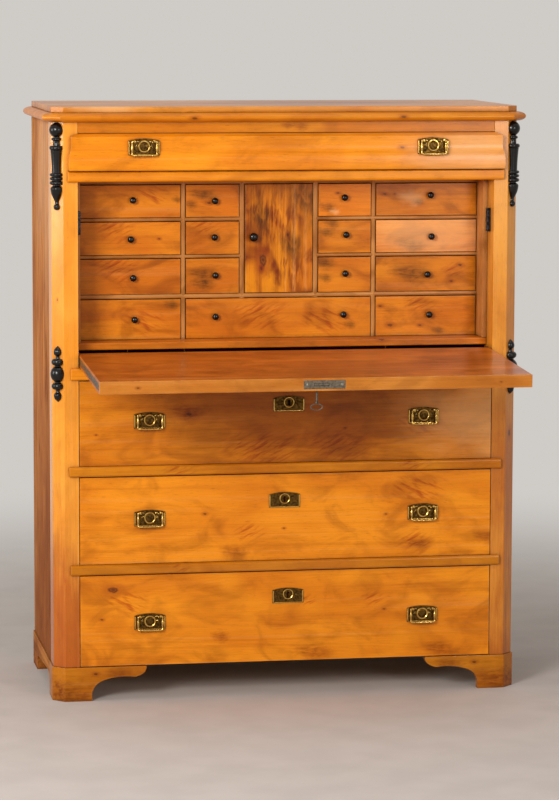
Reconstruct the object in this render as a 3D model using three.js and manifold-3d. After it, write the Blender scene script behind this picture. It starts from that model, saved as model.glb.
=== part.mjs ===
// A pine fall-front secretary: a case with canted corner posts on bracket feet, three large
// drawers, a fall flap that opens to a writing surface, a gallery of small drawers and a
// cupboard behind it, and a moulded drawer under the cornice.
// Millimetres, +X to the right, +Y to the back, +Z up. The posts' front faces lie at Y = 0
// while the pieces are made, and the finished group is shifted so that its origin is on the
// floor under the middle of the whole.
import * as THREE from "three";
import { mergeVertices } from "three/addons/utils/BufferGeometryUtils.js";
import Module from "manifold-3d";

const wasm = await Module();
wasm.setup();

// Case
const caseWidth = 1030;
const caseDepth = 450;
const cant = 24;
const postWidth = 55.5;
const postDepth = 78;
const sideThickness = 20;
const backThickness = 13;
const backFloorGap = 20;
const topThickness = 12.5;
const jointGap = 0.25;
const cutOverrun = 5;

// Heights, from the floor up
const baseHeight = 75;
const bottomBoardThickness = 18;
const lowerDrawerOpening = 204.5;
const middleDrawerOpening = 194;
const upperDrawerOpening = 189;
const railThickness = 22.75;
const writingRailThickness = 27;
const fallOpening = 402;
const upperRailThickness = 24.5;
const topDrawerOpening = 81;
const friezeHeight = 43.5;

// Rails
const lowerNoseOverlap = 19.5;
const middleNoseOverlap = 22;
const writingNoseOverlap = 17.5;
const upperNoseOverlap = 22.5;
const noseProjection = 8;
const noseCorner = 3;
const railDepth = 60;
const dustBoardThickness = 10;

// Cornice moulding
const corniceHeight = 20.5;
const corniceProjection = 19;
const corniceFacets = 8;

// Bracket feet and side plinths
const baseProjection = 3;
const footBoardThickness = 20;
const footWidth = 85;
const wingReach = 120;
const footSideLength = 84;
const rearFootLength = 87;
const rearFootWidth = 48;
const plinthCurveReach = 30;
const wingShares = [
  [0, 0.27],
  [0.06, 0.4],
  [0.15, 0.55],
  [0.34, 0.66],
  [0.55, 0.7],
  [0.69, 0.69],
  [0.79, 0.67],
  [0.89, 0.74],
  [0.97, 0.83],
  [1, 0.91],
];
const plinthFrontRise = 50;
const plinthRearRise = 37;
const plinthCurveShares = [
  [0, 0.4],
  [0.12, 0.68],
  [0.45, 0.9],
  [1, 1],
];

// Large drawers
const drawerSideGap = 1.2;
const drawerTopGap = 2.2;
const drawerBottomGap = 1.5;
const runningGap = 0.3;
const drawerFrontThickness = 20;
const drawerWall = 10;
const drawerFloor = 8;
const drawerBoxInset = 8;
const drawerBoxLowering = 14;
const drawerBackGap = 16;

// Moulded front of the top drawer: how far it laps and stands out, at heights up its face
const topDrawerGap = 1;
const mouldLap = 21;
const mouldProjection = 18;
const mouldShares = [
  [0, 0.88],
  [0.03, 0.97],
  [0.1, 1],
  [0.3, 1],
  [0.42, 0.92],
  [0.52, 0.8],
  [0.62, 0.74],
  [0.9, 0.76],
  [0.92, 0.72],
  [1, 0.05],
];

// Brass plates, pulls and escutcheons
const plateWidth = 68;
const plateHeight = 36;
const plateRise = 5;
const plateThickness = 2.5;
const plateArchSteps = 6;
const bossRadius = 13;
const bossHollowRadius = 9.5;
const bossHeight = 4;
const bossHollowDepth = 3;
const bossRaise = 3.5;
const bossSides = 14;
const eyeSpacing = 46;
const eyeWidth = 5;
const eyeHeight = 8;
const eyeRaise = 14.5;
const eyeReach = 9.5;
const bailPinRadius = 1.5;
const bailPinGap = 0.4;
const bailLegRadius = 2.3;
const bailBarRadius = 2.5;
const bailDrop = 31;
const bailSides = 8;
const pullInset = 154.5;
const topPullInset = 141.5;
const topPullSeat = 17;
const topPullRaise = 8.5;
const escutcheonWidth = 69;
const escutcheonHeight = 34;
const keyholeRadius = 3.2;
const keyholeSlotWidth = 3.6;
const keyholeSlotDrop = 8;

// Fall flap, its straps, lock and key
const flapThickness = 27;
const flapSideGap = 1.8;
const flapBottomGap = 1.5;
const flapTopGap = 1.5;
const flapDroop = THREE.MathUtils.degToRad(2.4);
const flapEdgeFacets = 6;
const fitGap = 0.3;
const strapThickness = 5;
const strapWidth = 14;
const strapEndMargin = 14;
const armReach = 35;
const armChamfer = 4;
const armSlotGap = 3;
const armStopSetback = 40;
const armStopRadius = 3;
const armStopReach = 8;
const studRadius = 5;
const studReach = 14;
const studSides = 16;
const selvedgeWidth = 88;
const selvedgeHeight = 18;
const selvedgeThickness = 2.5;
const lockOffset = 13;
const lockCaseWidth = 64;
const lockCaseDepth = 45;
const lockCaseThickness = 13;
const boltOffset = 7;
const boltWidth = 31;
const boltThickness = 5;
const boltLength = 24;
const boltThrow = 9;
const keyOffset = 1;
const keyBackset = 25;
const keyShankRadius = 2.6;
const keyShankLength = 31;
const keyTipDepth = 4;
const keyEntry = 7;
const keyBowWidth = 26;
const keyBowHeight = 20;
const keyBowThickness = 3.6;
const keyBowSides = 6;
const keyBowSteps = 18;

// Iron stops that the closed flap rests against
const stopThickness = 9;
const stopDepth = 12;
const stopHeight = 52;
const stopDrop = 64;
const stopGap = 1;

// Writing compartment and gallery
const armSpace = 32.5;
const deckThickness = 15.5;
const deckSetback = 55;
const gallerySetback = 118.5;
const galleryEndThickness = 10.5;
const outerDividerInner = 208.5;
const outerDividerOuter = 219;
const cupboardUprightInner = 76.5;
const cupboardUprightOuter = 88.5;
const galleryTopThickness = 12.5;
const lowShelfThickness = 10.5;
const middleShelfThickness = 8.5;
const highShelfThickness = 9;
const smallDrawerSideGap = 0.8;
const smallDrawerTopGap = 1.2;
const smallDrawerBackGap = 10.75;
const smallFrontThickness = 10;
const smallDrawerWall = 6;
const smallDrawerFloor = 5;
const cupboardDoorThickness = 14;
const cupboardDoorGap = 0.8;
const cupboardKnobInset = 17.5;
const cupboardKnobUpShare = 0.515;

// Turned knobs and split turnings, as shares of their largest radius and their length
const knobRadius = 7.4;
const cupboardKnobRadius = 9.8;
const knobLengthShare = 2.1;
const knobSides = 10;
const knobShares = [
  [0.5, 0],
  [0.42, 0.3],
  [0.8, 0.5],
  [1, 0.68],
  [0.86, 0.87],
  [0.45, 1],
];
const turningRadius = 16.8;
const turningSides = 16;
const upperTurningLength = 189;
const upperTurningShares = [
  [0.3, 0],
  [0.46, 0.018],
  [0.46, 0.042],
  [0.3, 0.062],
  [0.36, 0.1],
  [0.6, 0.16],
  [0.93, 0.235],
  [0.97, 0.265],
  [0.7, 0.295],
  [0.97, 0.31],
  [0.97, 0.328],
  [0.76, 0.35],
  [0.97, 0.365],
  [0.97, 0.385],
  [0.8, 0.395],
  [0.96, 0.408],
  [0.96, 0.425],
  [0.72, 0.44],
  [0.84, 0.69],
  [1, 0.7],
  [1, 0.735],
  [0.62, 0.76],
  [0.55, 0.785],
  [0.74, 0.81],
  [0.6, 0.83],
  [0.84, 0.855],
  [1, 0.9],
  [1, 0.945],
  [0.78, 0.98],
  [0.45, 1],
];
const lowerTurningLength = 122;
const lowerTurningShares = [
  [0.12, 0],
  [0.45, 0.045],
  [0.56, 0.1],
  [0.42, 0.17],
  [0.27, 0.2],
  [0.45, 0.235],
  [0.84, 0.26],
  [0.84, 0.305],
  [0.5, 0.335],
  [0.8, 0.37],
  [1, 0.44],
  [1, 0.54],
  [0.8, 0.61],
  [0.5, 0.66],
  [0.84, 0.68],
  [0.84, 0.725],
  [0.45, 0.755],
  [0.27, 0.79],
  [0.42, 0.82],
  [0.56, 0.885],
  [0.45, 0.95],
  [0.12, 1],
];

// The gallery's rows from the deck up, as parts of the clear height that they share
const galleryRowShares = [89.5, 78.5, 73, 72.5];

// Places worked out from the sizes above
const caseHalf = caseWidth / 2;
const betweenPosts = caseHalf - postWidth;
const insideHalf = caseHalf - sideThickness;
const boardBack = caseDepth - backThickness - jointGap;
const lowerRailBottom = baseHeight + lowerDrawerOpening;
const lowerRailTop = lowerRailBottom + railThickness;
const middleRailBottom = lowerRailTop + middleDrawerOpening;
const middleRailTop = middleRailBottom + railThickness;
const writingRailBottom = middleRailTop + upperDrawerOpening;
const writingRailTop = writingRailBottom + writingRailThickness;
const upperRailBottom = writingRailTop + fallOpening;
const upperRailTop = upperRailBottom + upperRailThickness;
const friezeBottom = upperRailTop + topDrawerOpening;
const caseTop = friezeBottom + friezeHeight;
const deckUnderside = writingRailTop + armSpace;
const deckTop = deckUnderside + deckThickness;
const pivotY = flapThickness / 2;
const pivotZ = writingRailTop + flapBottomGap + flapThickness / 2;
const flapReach = upperRailBottom - flapTopGap - pivotZ;
const flapHalf = betweenPosts - flapSideGap;
const strapInner = flapHalf - strapThickness;
const armStopZ = pivotZ + armTopAt(armStopSetback - pivotY) + fitGap + armStopRadius;
const upperTurningFoot = caseTop - corniceHeight - jointGap - upperTurningLength;
const galleryHalf = betweenPosts - galleryEndThickness;
const galleryRows = stackRows();
const [bottomRow, thirdRow, secondRow, topRow] = galleryRows;
const lowShelf = [bottomRow.high, thirdRow.low];
const middleShelf = [thirdRow.high, secondRow.low];
const highShelf = [secondRow.high, topRow.low];
const galleryTop = [topRow.high, upperRailBottom - jointGap];
const cupboardFoot = thirdRow.low;
const cupboardHeight = topRow.high - cupboardFoot;
const smallDrawerDepth = boardBack - gallerySetback - smallDrawerBackGap;
const pullSpacing = 2 * (betweenPosts - pullInset);
const topPullSpacing = 2 * (betweenPosts - topPullInset);
const lowerTurningFoot = writingRailTop - writingRailThickness / 2 - lowerTurningLength / 2;

const pineOrange = wood("#d98227", 0.4);
const pineYellow = wood("#e29a45", 0.42);
const pineRed = wood("#b9602a", 0.42);
const pineBrown = wood("#8a5a3c", 0.55);
const pineBare = wood("#a9814f", 0.75);
const ebonised = wood("#15100d", 0.22);
const brass = metal("#a08440", 0.4);
const iron = metal("#6a635a", 0.5);

// How high a strap's arm stands over the pivot at a distance behind it, with the flap open.
function armTopAt(distance) {
  return distance * Math.tan(flapDroop) + strapWidth / 2 / Math.cos(flapDroop);
}

// The heights between which each row of the gallery lies, from the deck up.
function stackRows() {
  const shelves = [lowShelfThickness, middleShelfThickness, highShelfThickness, galleryTopThickness];
  const clear = upperRailBottom - deckTop - shelves.reduce((sum, thickness) => sum + thickness);
  const parts = galleryRowShares.reduce((sum, share) => sum + share);
  const rows = [];
  let low = deckTop;
  galleryRowShares.forEach((share, row) => {
    const high = low + (clear * share) / parts;
    rows.push({ low, high });
    low = high + shelves[row];
  });
  return rows;
}

// A wood material: a colour, with the polish as its roughness.
function wood(color, roughness) {
  return new THREE.MeshStandardMaterial({ color, roughness, metalness: 0, flatShading: true });
}

// A metal material.
function metal(color, roughness) {
  return new THREE.MeshStandardMaterial({ color, roughness, metalness: 1, flatShading: true });
}

// A closed geometry as a manifold-3d solid, for cutting and joining.
function solidOf(geometry) {
  const bare = geometry.clone();
  bare.deleteAttribute("normal");
  bare.deleteAttribute("uv");
  const merged = mergeVertices(bare);
  const corners = merged.index.array;
  const kept = [];
  for (let i = 0; i < corners.length; i += 3) {
    const [a, b, c] = corners.slice(i, i + 3);
    if (a !== b && b !== c && c !== a) kept.push(a, b, c);
  }
  const vertProperties = merged.attributes.position.array;
  return new wasm.Manifold(
    new wasm.Mesh({ numProp: 3, vertProperties, triVerts: new Uint32Array(kept) }),
  );
}

// A named mesh of a solid.
function meshOf(name, solid, material) {
  const { vertProperties, triVerts } = solid.getMesh();
  const geometry = new THREE.BufferGeometry();
  geometry.setAttribute("position", new THREE.BufferAttribute(vertProperties, 3));
  geometry.setIndex(new THREE.BufferAttribute(triVerts, 1));
  geometry.computeVertexNormals();
  const mesh = new THREE.Mesh(geometry, material.clone());
  mesh.name = name;
  return mesh;
}

// All the given solids joined into one.
function join(...solids) {
  return solids.reduce((whole, next) => whole.add(next));
}

// A block between two X, two Y and two Z places, given in either order. Its corners are set
// to those places as they are, so that blocks which share a face meet in it.
function block(...spans) {
  const geometry = new THREE.BoxGeometry();
  const corners = geometry.attributes.position;
  for (let i = 0; i < corners.count; i += 1) {
    spans.forEach((span, axis) => {
      const place = corners.getComponent(i, axis) < 0 ? Math.min(...span) : Math.max(...span);
      corners.setComponent(i, axis, place);
    });
  }
  return solidOf(geometry);
}

// The extrusion of an outline of [a, b] points, before it is turned to its axis.
function extrusion(points, depth) {
  const shape = new THREE.Shape(points.map(([a, b]) => new THREE.Vector2(a, b)));
  return new THREE.ExtrudeGeometry(shape, { depth, bevelEnabled: false });
}

// A prism of a plan outline of [x, y] points, standing between two heights.
function prismZ(points, bottom, top) {
  return solidOf(extrusion(points, top - bottom).translate(0, 0, bottom));
}

// A prism of an elevation outline of [x, z] points, between two Y places.
function prismY(points, front, back) {
  return solidOf(extrusion(points, back - front).rotateX(Math.PI / 2).translate(0, back, 0));
}

// A prism of a side outline of [y, z] points, between two X places.
function prismX(points, left, right) {
  const turned = extrusion(points, right - left).rotateZ(Math.PI / 2).rotateY(Math.PI / 2);
  return solidOf(turned.translate(left, 0, 0));
}

// A solid turned about Z from a profile of [radius, height] points, closed on the axis.
function turnedZ(profile, sides) {
  const low = profile[0][1];
  const high = profile[profile.length - 1][1];
  const points = [[0, low], ...profile, [0, high]].map(([r, z]) => new THREE.Vector2(r, z));
  return solidOf(new THREE.LatheGeometry(points, sides).rotateX(Math.PI / 2));
}

// A profile of shares as [radius, height] points.
function profileOf(shares, radius, length) {
  return shares.map(([r, z]) => [r * radius, z * length]);
}

// A round bar along X, Y or Z from a start point.
function bar(axis, radius, length, sides, [x, y, z]) {
  const turns = { X: [0, Math.PI / 2, 0], Y: [-Math.PI / 2, 0, 0], Z: [0, 0, 0] };
  const upright = new THREE.CylinderGeometry(radius, radius, length, sides).rotateX(Math.PI / 2);
  upright.translate(0, 0, length / 2);
  const placed = upright.applyMatrix4(
    new THREE.Matrix4().makeRotationFromEuler(new THREE.Euler(...turns[axis])),
  );
  return solidOf(placed.translate(x, y, z));
}

// The case's plan at the front: side, canted corner, front, canted corner, side, from left
// back to right back, stood off outwards by an offset.
function casePlan(offset) {
  const mitre = offset * Math.tan(Math.PI / 8);
  const side = caseHalf + offset;
  const front = caseHalf - cant + mitre;
  return [
    [-side, caseDepth],
    [-side, cant - mitre],
    [-front, -offset],
    [front, -offset],
    [side, cant - mitre],
    [side, caseDepth],
  ];
}

// A closed band between profile points of [offset, height], mitred round the case.
function mitredBand(profile) {
  const rings = profile.map(([offset, height]) =>
    casePlan(offset).map(([x, y]) => [x, y, height]),
  );
  const stations = rings[0].length;
  const positions = rings.flat(2);
  const index = [];
  const at = (i, j) => (i % rings.length) * stations + j;
  for (let i = 0; i < rings.length; i += 1) {
    for (let j = 0; j + 1 < stations; j += 1) {
      index.push(at(i, j), at(i, j + 1), at(i + 1, j + 1));
      index.push(at(i, j), at(i + 1, j + 1), at(i + 1, j));
    }
  }
  const ends = profile.map(([a, b]) => new THREE.Vector2(a, b));
  for (const [a, b, c] of THREE.ShapeUtils.triangulateShape(ends, [])) {
    index.push(at(a, 0), at(b, 0), at(c, 0));
    index.push(at(a, stations - 1), at(c, stations - 1), at(b, stations - 1));
  }
  const geometry = new THREE.BufferGeometry();
  geometry.setAttribute("position", new THREE.Float32BufferAttribute(positions, 3));
  geometry.setIndex(index);
  return solidOf(geometry);
}

// The canted corner post, with the hole for the flap's stud, the iron bar that stops the
// closed flap and the pin that stops the open flap's arm.
function post(side) {
  const plan = [
    [side * betweenPosts, 0],
    [side * (caseHalf - cant), 0],
    [side * caseHalf, cant],
    [side * caseHalf, postDepth],
    [side * betweenPosts, postDepth],
  ];
  const upright = prismZ(plan, baseHeight + jointGap, caseTop - jointGap);
  const holeDepth = studReach + fitGap;
  const holeStart = side > 0 ? betweenPosts - cutOverrun : -betweenPosts - holeDepth;
  const hole = bar("X", studRadius + fitGap, holeDepth + cutOverrun, studSides, [
    holeStart,
    pivotY,
    pivotZ,
  ]);
  const stopTop = upperRailBottom - stopDrop;
  const stopFront = flapThickness + stopGap;
  const stop = block(
    [side * (betweenPosts - stopThickness), side * (betweenPosts + stopThickness)],
    [stopFront, stopFront + stopDepth],
    [stopTop - stopHeight, stopTop],
  );
  const pinStart = side > 0 ? betweenPosts - armStopReach : -betweenPosts - armStopReach;
  const pin = bar("X", armStopRadius, 2 * armStopReach, studSides, [
    pinStart,
    armStopSetback,
    armStopZ,
  ]);
  return join(upright, stop, pin).subtract(hole);
}

// A plain side panel behind its post.
function sidePanel(side) {
  return block(
    [side * insideHalf, side * caseHalf],
    [postDepth + jointGap, caseDepth],
    [baseHeight + jointGap, caseTop - jointGap],
  );
}

// A board that fills the case behind a front edge, notched round both posts.
function caseBoard(front, bottom, top) {
  const narrow = betweenPosts - jointGap;
  const wide = insideHalf - jointGap;
  const shoulder = postDepth + jointGap;
  const half = [
    [narrow, front],
    [narrow, shoulder],
    [wide, shoulder],
    [wide, boardBack],
  ];
  const mirrored = half.map(([x, y]) => [-x, y]).reverse();
  return prismZ([...half, ...mirrored], bottom, top);
}

// The nosing of a rail, which laps over the faces of both posts.
function nosing(overlap, bottom, top) {
  const end = betweenPosts + overlap;
  const outline = [
    [-end, bottom + noseCorner],
    [-end + noseCorner, bottom],
    [end - noseCorner, bottom],
    [end, bottom + noseCorner],
    [end, top - noseCorner],
    [end - noseCorner, top],
    [-end + noseCorner, top],
    [-end, top - noseCorner],
  ];
  return prismY(outline, -noseProjection, -jointGap);
}

// A rail between two drawers: nosing, rail and the dust board behind it.
function drawerRail(bottom, thickness, overlap) {
  const top = bottom + thickness;
  const narrow = betweenPosts - jointGap;
  const rail = block([-narrow, narrow], [-noseProjection, railDepth], [bottom, top]);
  const board = caseBoard(railDepth / 2, top - dustBoardThickness, top);
  return join(nosing(overlap, bottom, top), rail, board);
}

// The rail under the writing surface, slotted at both ends for the straps' arms.
function writingRail() {
  const whole = drawerRail(writingRailBottom, writingRailThickness, writingNoseOverlap);
  const slots = [-1, 1].map((side) =>
    block(
      [side * (strapInner - armSlotGap), side * (betweenPosts + cutOverrun)],
      [armSlotGap, pivotY + armReach + armSlotGap],
      [pivotZ - Math.hypot(armReach, strapWidth / 2), writingRailTop + cutOverrun],
    ),
  );
  return whole.subtract(join(...slots));
}

// The rail over the writing compartment, a full board with the lock's mortise in its underside.
function upperRail() {
  const board = caseBoard(0, upperRailBottom, upperRailTop);
  const narrow = betweenPosts - jointGap;
  const edge = block([-narrow, narrow], [-noseProjection, cant], [upperRailBottom, upperRailTop]);
  const half = boltWidth / 2 + armSlotGap / 2;
  const mortise = block(
    [boltOffset - half, boltOffset + half],
    [pivotY - boltThickness, pivotY + boltThickness],
    [upperRailBottom - cutOverrun, upperRailBottom + boltThrow + armSlotGap],
  );
  return join(nosing(upperNoseOverlap, upperRailBottom, upperRailTop), edge, board).subtract(mortise);
}

// The board of the frieze, flush with the posts between them.
function friezeRail() {
  const narrow = betweenPosts - jointGap;
  return block([-narrow, narrow], [0, railDepth], [friezeBottom, caseTop - jointGap]);
}

// The bottom board, which the lowest drawer's front covers.
function bottomBoard() {
  const front = drawerFrontThickness + drawerBottomGap;
  return caseBoard(front, baseHeight + jointGap, baseHeight + bottomBoardThickness);
}

// The back, let in between the side panels, with a lower part between the rear feet.
function backPanel() {
  const wide = insideHalf - jointGap;
  const narrow = caseHalf + baseProjection - rearFootWidth - jointGap;
  const shoulder = baseHeight + jointGap;
  const half = [
    [narrow, backFloorGap],
    [narrow, shoulder],
    [wide, shoulder],
    [wide, caseTop - jointGap],
  ];
  const mirrored = half.map(([x, z]) => [-x, z]).reverse();
  return prismY([...half, ...mirrored], caseDepth - backThickness, caseDepth);
}

// The half-round moulding that runs round the case under the top board.
function corniceMoulding() {
  const middle = caseTop - corniceHeight / 2;
  const profile = [];
  for (let i = 0; i <= corniceFacets; i += 1) {
    const turn = Math.PI * (i / corniceFacets - 1 / 2);
    const offset = Math.max(corniceProjection * Math.cos(turn), jointGap);
    profile.push([offset, middle + (corniceHeight / 2) * Math.sin(turn)]);
  }
  return mitredBand(profile);
}

// A curve of [run, rise] shares as [run, rise] lengths.
function curveOf(shares, run, rise) {
  return shares.map(([u, v]) => [u * run, v * rise]);
}

// A front bracket foot: canted at the corner, with a cusped wing along the front.
function frontFoot(side) {
  const outer = caseHalf + baseProjection;
  const mitre = baseProjection * Math.tan(Math.PI / 8);
  const inner = outer - footWidth;
  const tip = inner - wingReach;
  const insideY = footBoardThickness - baseProjection;
  const plan = [
    [tip, -baseProjection],
    [caseHalf - cant + mitre, -baseProjection],
    [outer, cant - mitre],
    [outer, footSideLength],
    [outer - footBoardThickness, footSideLength],
    [outer - footBoardThickness, insideY],
    [tip, insideY],
  ].map(([x, y]) => [side * x, y]);
  const curve = curveOf(wingShares, wingReach, baseHeight).map(([u, z]) => [inner - u, z]);
  const clear = [
    [tip - cutOverrun, -cutOverrun],
    [inner, -cutOverrun],
    ...curve,
    [tip - cutOverrun, curve[curve.length - 1][1]],
  ].map(([x, z]) => [side * x, z]);
  const cut = prismY(clear, -baseProjection - cutOverrun, footSideLength);
  return prismZ(plan, 0, baseHeight).subtract(cut);
}

// A side plinth: the apron behind the front foot, and the rear foot with its block.
function sidePlinth(side) {
  const outer = caseHalf + baseProjection;
  const start = footSideLength + jointGap;
  const rear = caseDepth - rearFootLength;
  const rise = curveOf(plinthCurveShares, plinthCurveReach, plinthFrontRise);
  const fall = curveOf(plinthCurveShares, plinthCurveReach, plinthRearRise);
  const outline = [
    [start, baseHeight],
    ...rise.map(([u, z]) => [start + u, z]),
    ...fall.map(([u, z]) => [rear - u, z]).reverse(),
    [rear, 0],
    [caseDepth, 0],
    [caseDepth, baseHeight],
  ];
  const edges = [side * (outer - footBoardThickness), side * outer].sort((a, b) => a - b);
  const board = prismX(outline, ...edges);
  const foot = block(
    [side * (outer - rearFootWidth), side * outer],
    [rear, caseDepth],
    [0, baseHeight],
  );
  return join(board, foot);
}

// A turned knob whose stem starts at Y = 0 and whose axis runs to the front.
function knob(radius) {
  const profile = profileOf(knobShares, radius, radius * knobLengthShare);
  const upright = turnedZ(profile, knobSides);
  return upright.rotate([90, 0, 0]);
}

// An open box behind a drawer front, which is at Y = 0, centred on X = 0.
function openBox({ width, bottom, top, front, back, wall, floor }) {
  const half = width / 2;
  const body = block([-half, half], [front, back], [bottom, top]);
  const hollow = block(
    [-half + wall, half - wall],
    [front, back - wall],
    [bottom + floor, top + cutOverrun],
  );
  return { body, hollow };
}

// A plate with a low arched top, on a face at Y = 0, from its lowest edge up.
function archedPlate(width, height, thickness) {
  const half = width / 2;
  const shoulder = height - plateRise;
  const outline = [
    [-half, 0],
    [half, 0],
  ];
  for (let i = 0; i <= plateArchSteps; i += 1) {
    const share = 1 - (2 * i) / plateArchSteps;
    outline.push([share * half, shoulder + plateRise * (1 - share * share)]);
  }
  return prismY(outline, -thickness, 0);
}

// The round boss of a plate, hollowed at its face.
function boss(height) {
  const start = -plateThickness - bossHeight;
  const centre = height / 2 + bossRaise;
  const ring = bar("Y", bossRadius, bossHeight + plateThickness, bossSides, [0, start, centre]);
  const hollow = bar("Y", bossHollowRadius, bossHollowDepth + cutOverrun, bossSides, [
    0,
    start - cutOverrun,
    centre,
  ]);
  return { ring, hollow };
}

// A pull plate with its boss and the two eyes that hold the bail.
function pullPlate() {
  const { ring, hollow } = boss(plateHeight);
  const height = plateHeight / 2 + eyeRaise;
  const eyes = [-1, 1].map((side) => {
    const middle = (side * eyeSpacing) / 2;
    return block(
      [middle - eyeWidth / 2, middle + eyeWidth / 2],
      [-eyeReach - eyeHeight / 2, 0],
      [height - eyeHeight / 2, height + eyeHeight / 2],
    );
  });
  const span = eyeSpacing + 2 * eyeWidth;
  const hole = bar("X", bailPinRadius + bailPinGap, span, bailSides, [
    -span / 2,
    -eyeReach,
    height,
  ]);
  const plate = archedPlate(plateWidth, plateHeight, plateThickness);
  return join(plate, ring, ...eyes).subtract(join(hollow, hole));
}

// An escutcheon with its boss and keyhole.
function escutcheon() {
  const { ring, hollow } = boss(escutcheonHeight);
  const centre = escutcheonHeight / 2 + bossRaise;
  const start = -plateThickness - bossHeight;
  const deep = bossHeight + plateThickness;
  const hole = bar("Y", keyholeRadius, deep, bailSides, [0, start, centre]);
  const slot = block(
    [-keyholeSlotWidth / 2, keyholeSlotWidth / 2],
    [start, start + deep],
    [centre - keyholeSlotDrop, centre],
  );
  const plate = archedPlate(escutcheonWidth, escutcheonHeight, plateThickness);
  return join(plate, ring).subtract(join(hollow, hole, slot));
}

// A bail: two legs and a bar, with pins that turn in the plate's eyes. Its origin is the pins' axis.
function bail() {
  const legX = eyeSpacing / 2 + eyeWidth / 2 + fitGap + bailLegRadius;
  const pieces = [];
  for (const side of [-1, 1]) {
    const pinLength = legX - eyeSpacing / 2 + eyeWidth / 2;
    const pinStart = side > 0 ? legX - pinLength : -legX;
    pieces.push(bar("X", bailPinRadius, pinLength, bailSides, [pinStart, 0, 0]));
    const top = bailLegRadius;
    const leg = bar("Z", bailLegRadius, bailDrop + top, bailSides, [side * legX, 0, -bailDrop]);
    pieces.push(leg);
  }
  const span = 2 * (legX + bailBarRadius);
  pieces.push(bar("X", bailBarRadius, span, bailSides, [-span / 2, 0, -bailDrop]));
  return join(...pieces);
}

// The open box of a drawer that runs between the posts, from a height up to its front's top.
function drawerBox(bottom, frontTop) {
  return openBox({
    width: 2 * (betweenPosts - drawerSideGap - drawerBoxInset),
    bottom,
    top: frontTop - drawerBoxLowering,
    front: drawerFrontThickness,
    back: boardBack - drawerBackGap,
    wall: drawerWall,
    floor: drawerFloor,
  });
}

// A large drawer with its two pull plates and its escutcheon.
function largeDrawer({ bottom, top, boxBottom, pullShare, lockShare, lockAside }) {
  const half = betweenPosts - drawerSideGap;
  const front = block([-half, half], [0, drawerFrontThickness], [bottom, top]);
  const box = drawerBox(boxBottom, top);
  const pullHeight = bottom + pullShare * (top - bottom) - plateHeight / 2;
  const pulls = [-1, 1].map((side) =>
    pullPlate().translate([(side * pullSpacing) / 2, 0, pullHeight]),
  );
  const lockHeight = bottom + lockShare * (top - bottom) - escutcheonHeight / 2;
  const lockPlate = escutcheon().translate([lockAside, 0, lockHeight]);
  return join(front, box.body, ...pulls, lockPlate).subtract(box.hollow);
}

// The moulded block of the top drawer: a stack of rectangles that grow out with the profile.
function mouldedBlock(bottom, top) {
  const corners = [];
  for (const [up, out] of mouldShares) {
    const z = bottom + up * (top - bottom);
    const half = betweenPosts + out * mouldLap;
    const face = -jointGap - out * mouldProjection;
    corners.push([-half, -jointGap, z], [-half, face, z], [half, face, z], [half, -jointGap, z]);
  }
  const rows = mouldShares.length;
  const index = [0, 3, 2, 0, 2, 1];
  for (let i = 0; i + 1 < rows; i += 1) {
    for (let j = 0; j < 4; j += 1) {
      const a = 4 * i + j;
      const b = 4 * i + ((j + 1) % 4);
      index.push(a, b, b + 4, a, b + 4, a + 4);
    }
  }
  const last = 4 * (rows - 1);
  index.push(last, last + 1, last + 2, last, last + 2, last + 3);
  const geometry = new THREE.BufferGeometry();
  geometry.setAttribute("position", new THREE.Float32BufferAttribute(corners.flat(), 3));
  geometry.setIndex(index);
  return solidOf(geometry);
}

// The drawer under the cornice, with its moulded front lapping over the posts.
function topDrawer({ bottom, top, boxBottom }) {
  const half = betweenPosts - drawerSideGap;
  const front = block([-half, half], [-drawerSideGap, drawerFrontThickness], [bottom, top]);
  const box = drawerBox(boxBottom, top);
  const pullHeight = (bottom + top) / 2 + topPullRaise - plateHeight / 2;
  const pulls = [-1, 1].map((side) => {
    const pad = archedPlate(plateWidth, plateHeight, topPullSeat);
    const pull = join(pad, pullPlate().translate([0, -topPullSeat, 0]));
    return pull.translate([(side * topPullSpacing) / 2, 0, pullHeight]);
  });
  return join(mouldedBlock(bottom, top), front, box.body, ...pulls).subtract(box.hollow);
}

// A gallery drawer with its knobs, whose places are shares of its width and height.
function smallDrawer(width, height, knobPlaceShares) {
  const half = width / 2;
  const front = block([-half, half], [0, smallFrontThickness], [0, height]);
  const box = openBox({
    width,
    bottom: 0,
    top: height,
    front: smallFrontThickness,
    back: smallDrawerDepth,
    wall: smallDrawerWall,
    floor: smallDrawerFloor,
  });
  const knobs = knobPlaceShares.map(([across, up]) =>
    knob(knobRadius).translate([(across - 0.5) * width, 0, up * height]),
  );
  return join(front, box.body, ...knobs).subtract(box.hollow);
}

// An outer bay of the gallery: end panel, tall divider, three shelves and the top board.
function outerBay(side) {
  const bottom = deckTop + jointGap;
  const top = upperRailBottom - jointGap;
  const end = block(
    [side * galleryHalf, side * (betweenPosts - jointGap)],
    [deckSetback, boardBack],
    [bottom, top],
  );
  const divider = block(
    [side * outerDividerInner, side * outerDividerOuter],
    [gallerySetback, boardBack],
    [bottom, top],
  );
  const shelves = [lowShelf, middleShelf, highShelf, galleryTop].map(([low, high]) =>
    block(
      [side * (outerDividerOuter - jointGap), side * (galleryHalf + jointGap)],
      [gallerySetback, boardBack],
      [low, high],
    ),
  );
  return join(end, divider, ...shelves);
}

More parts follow.
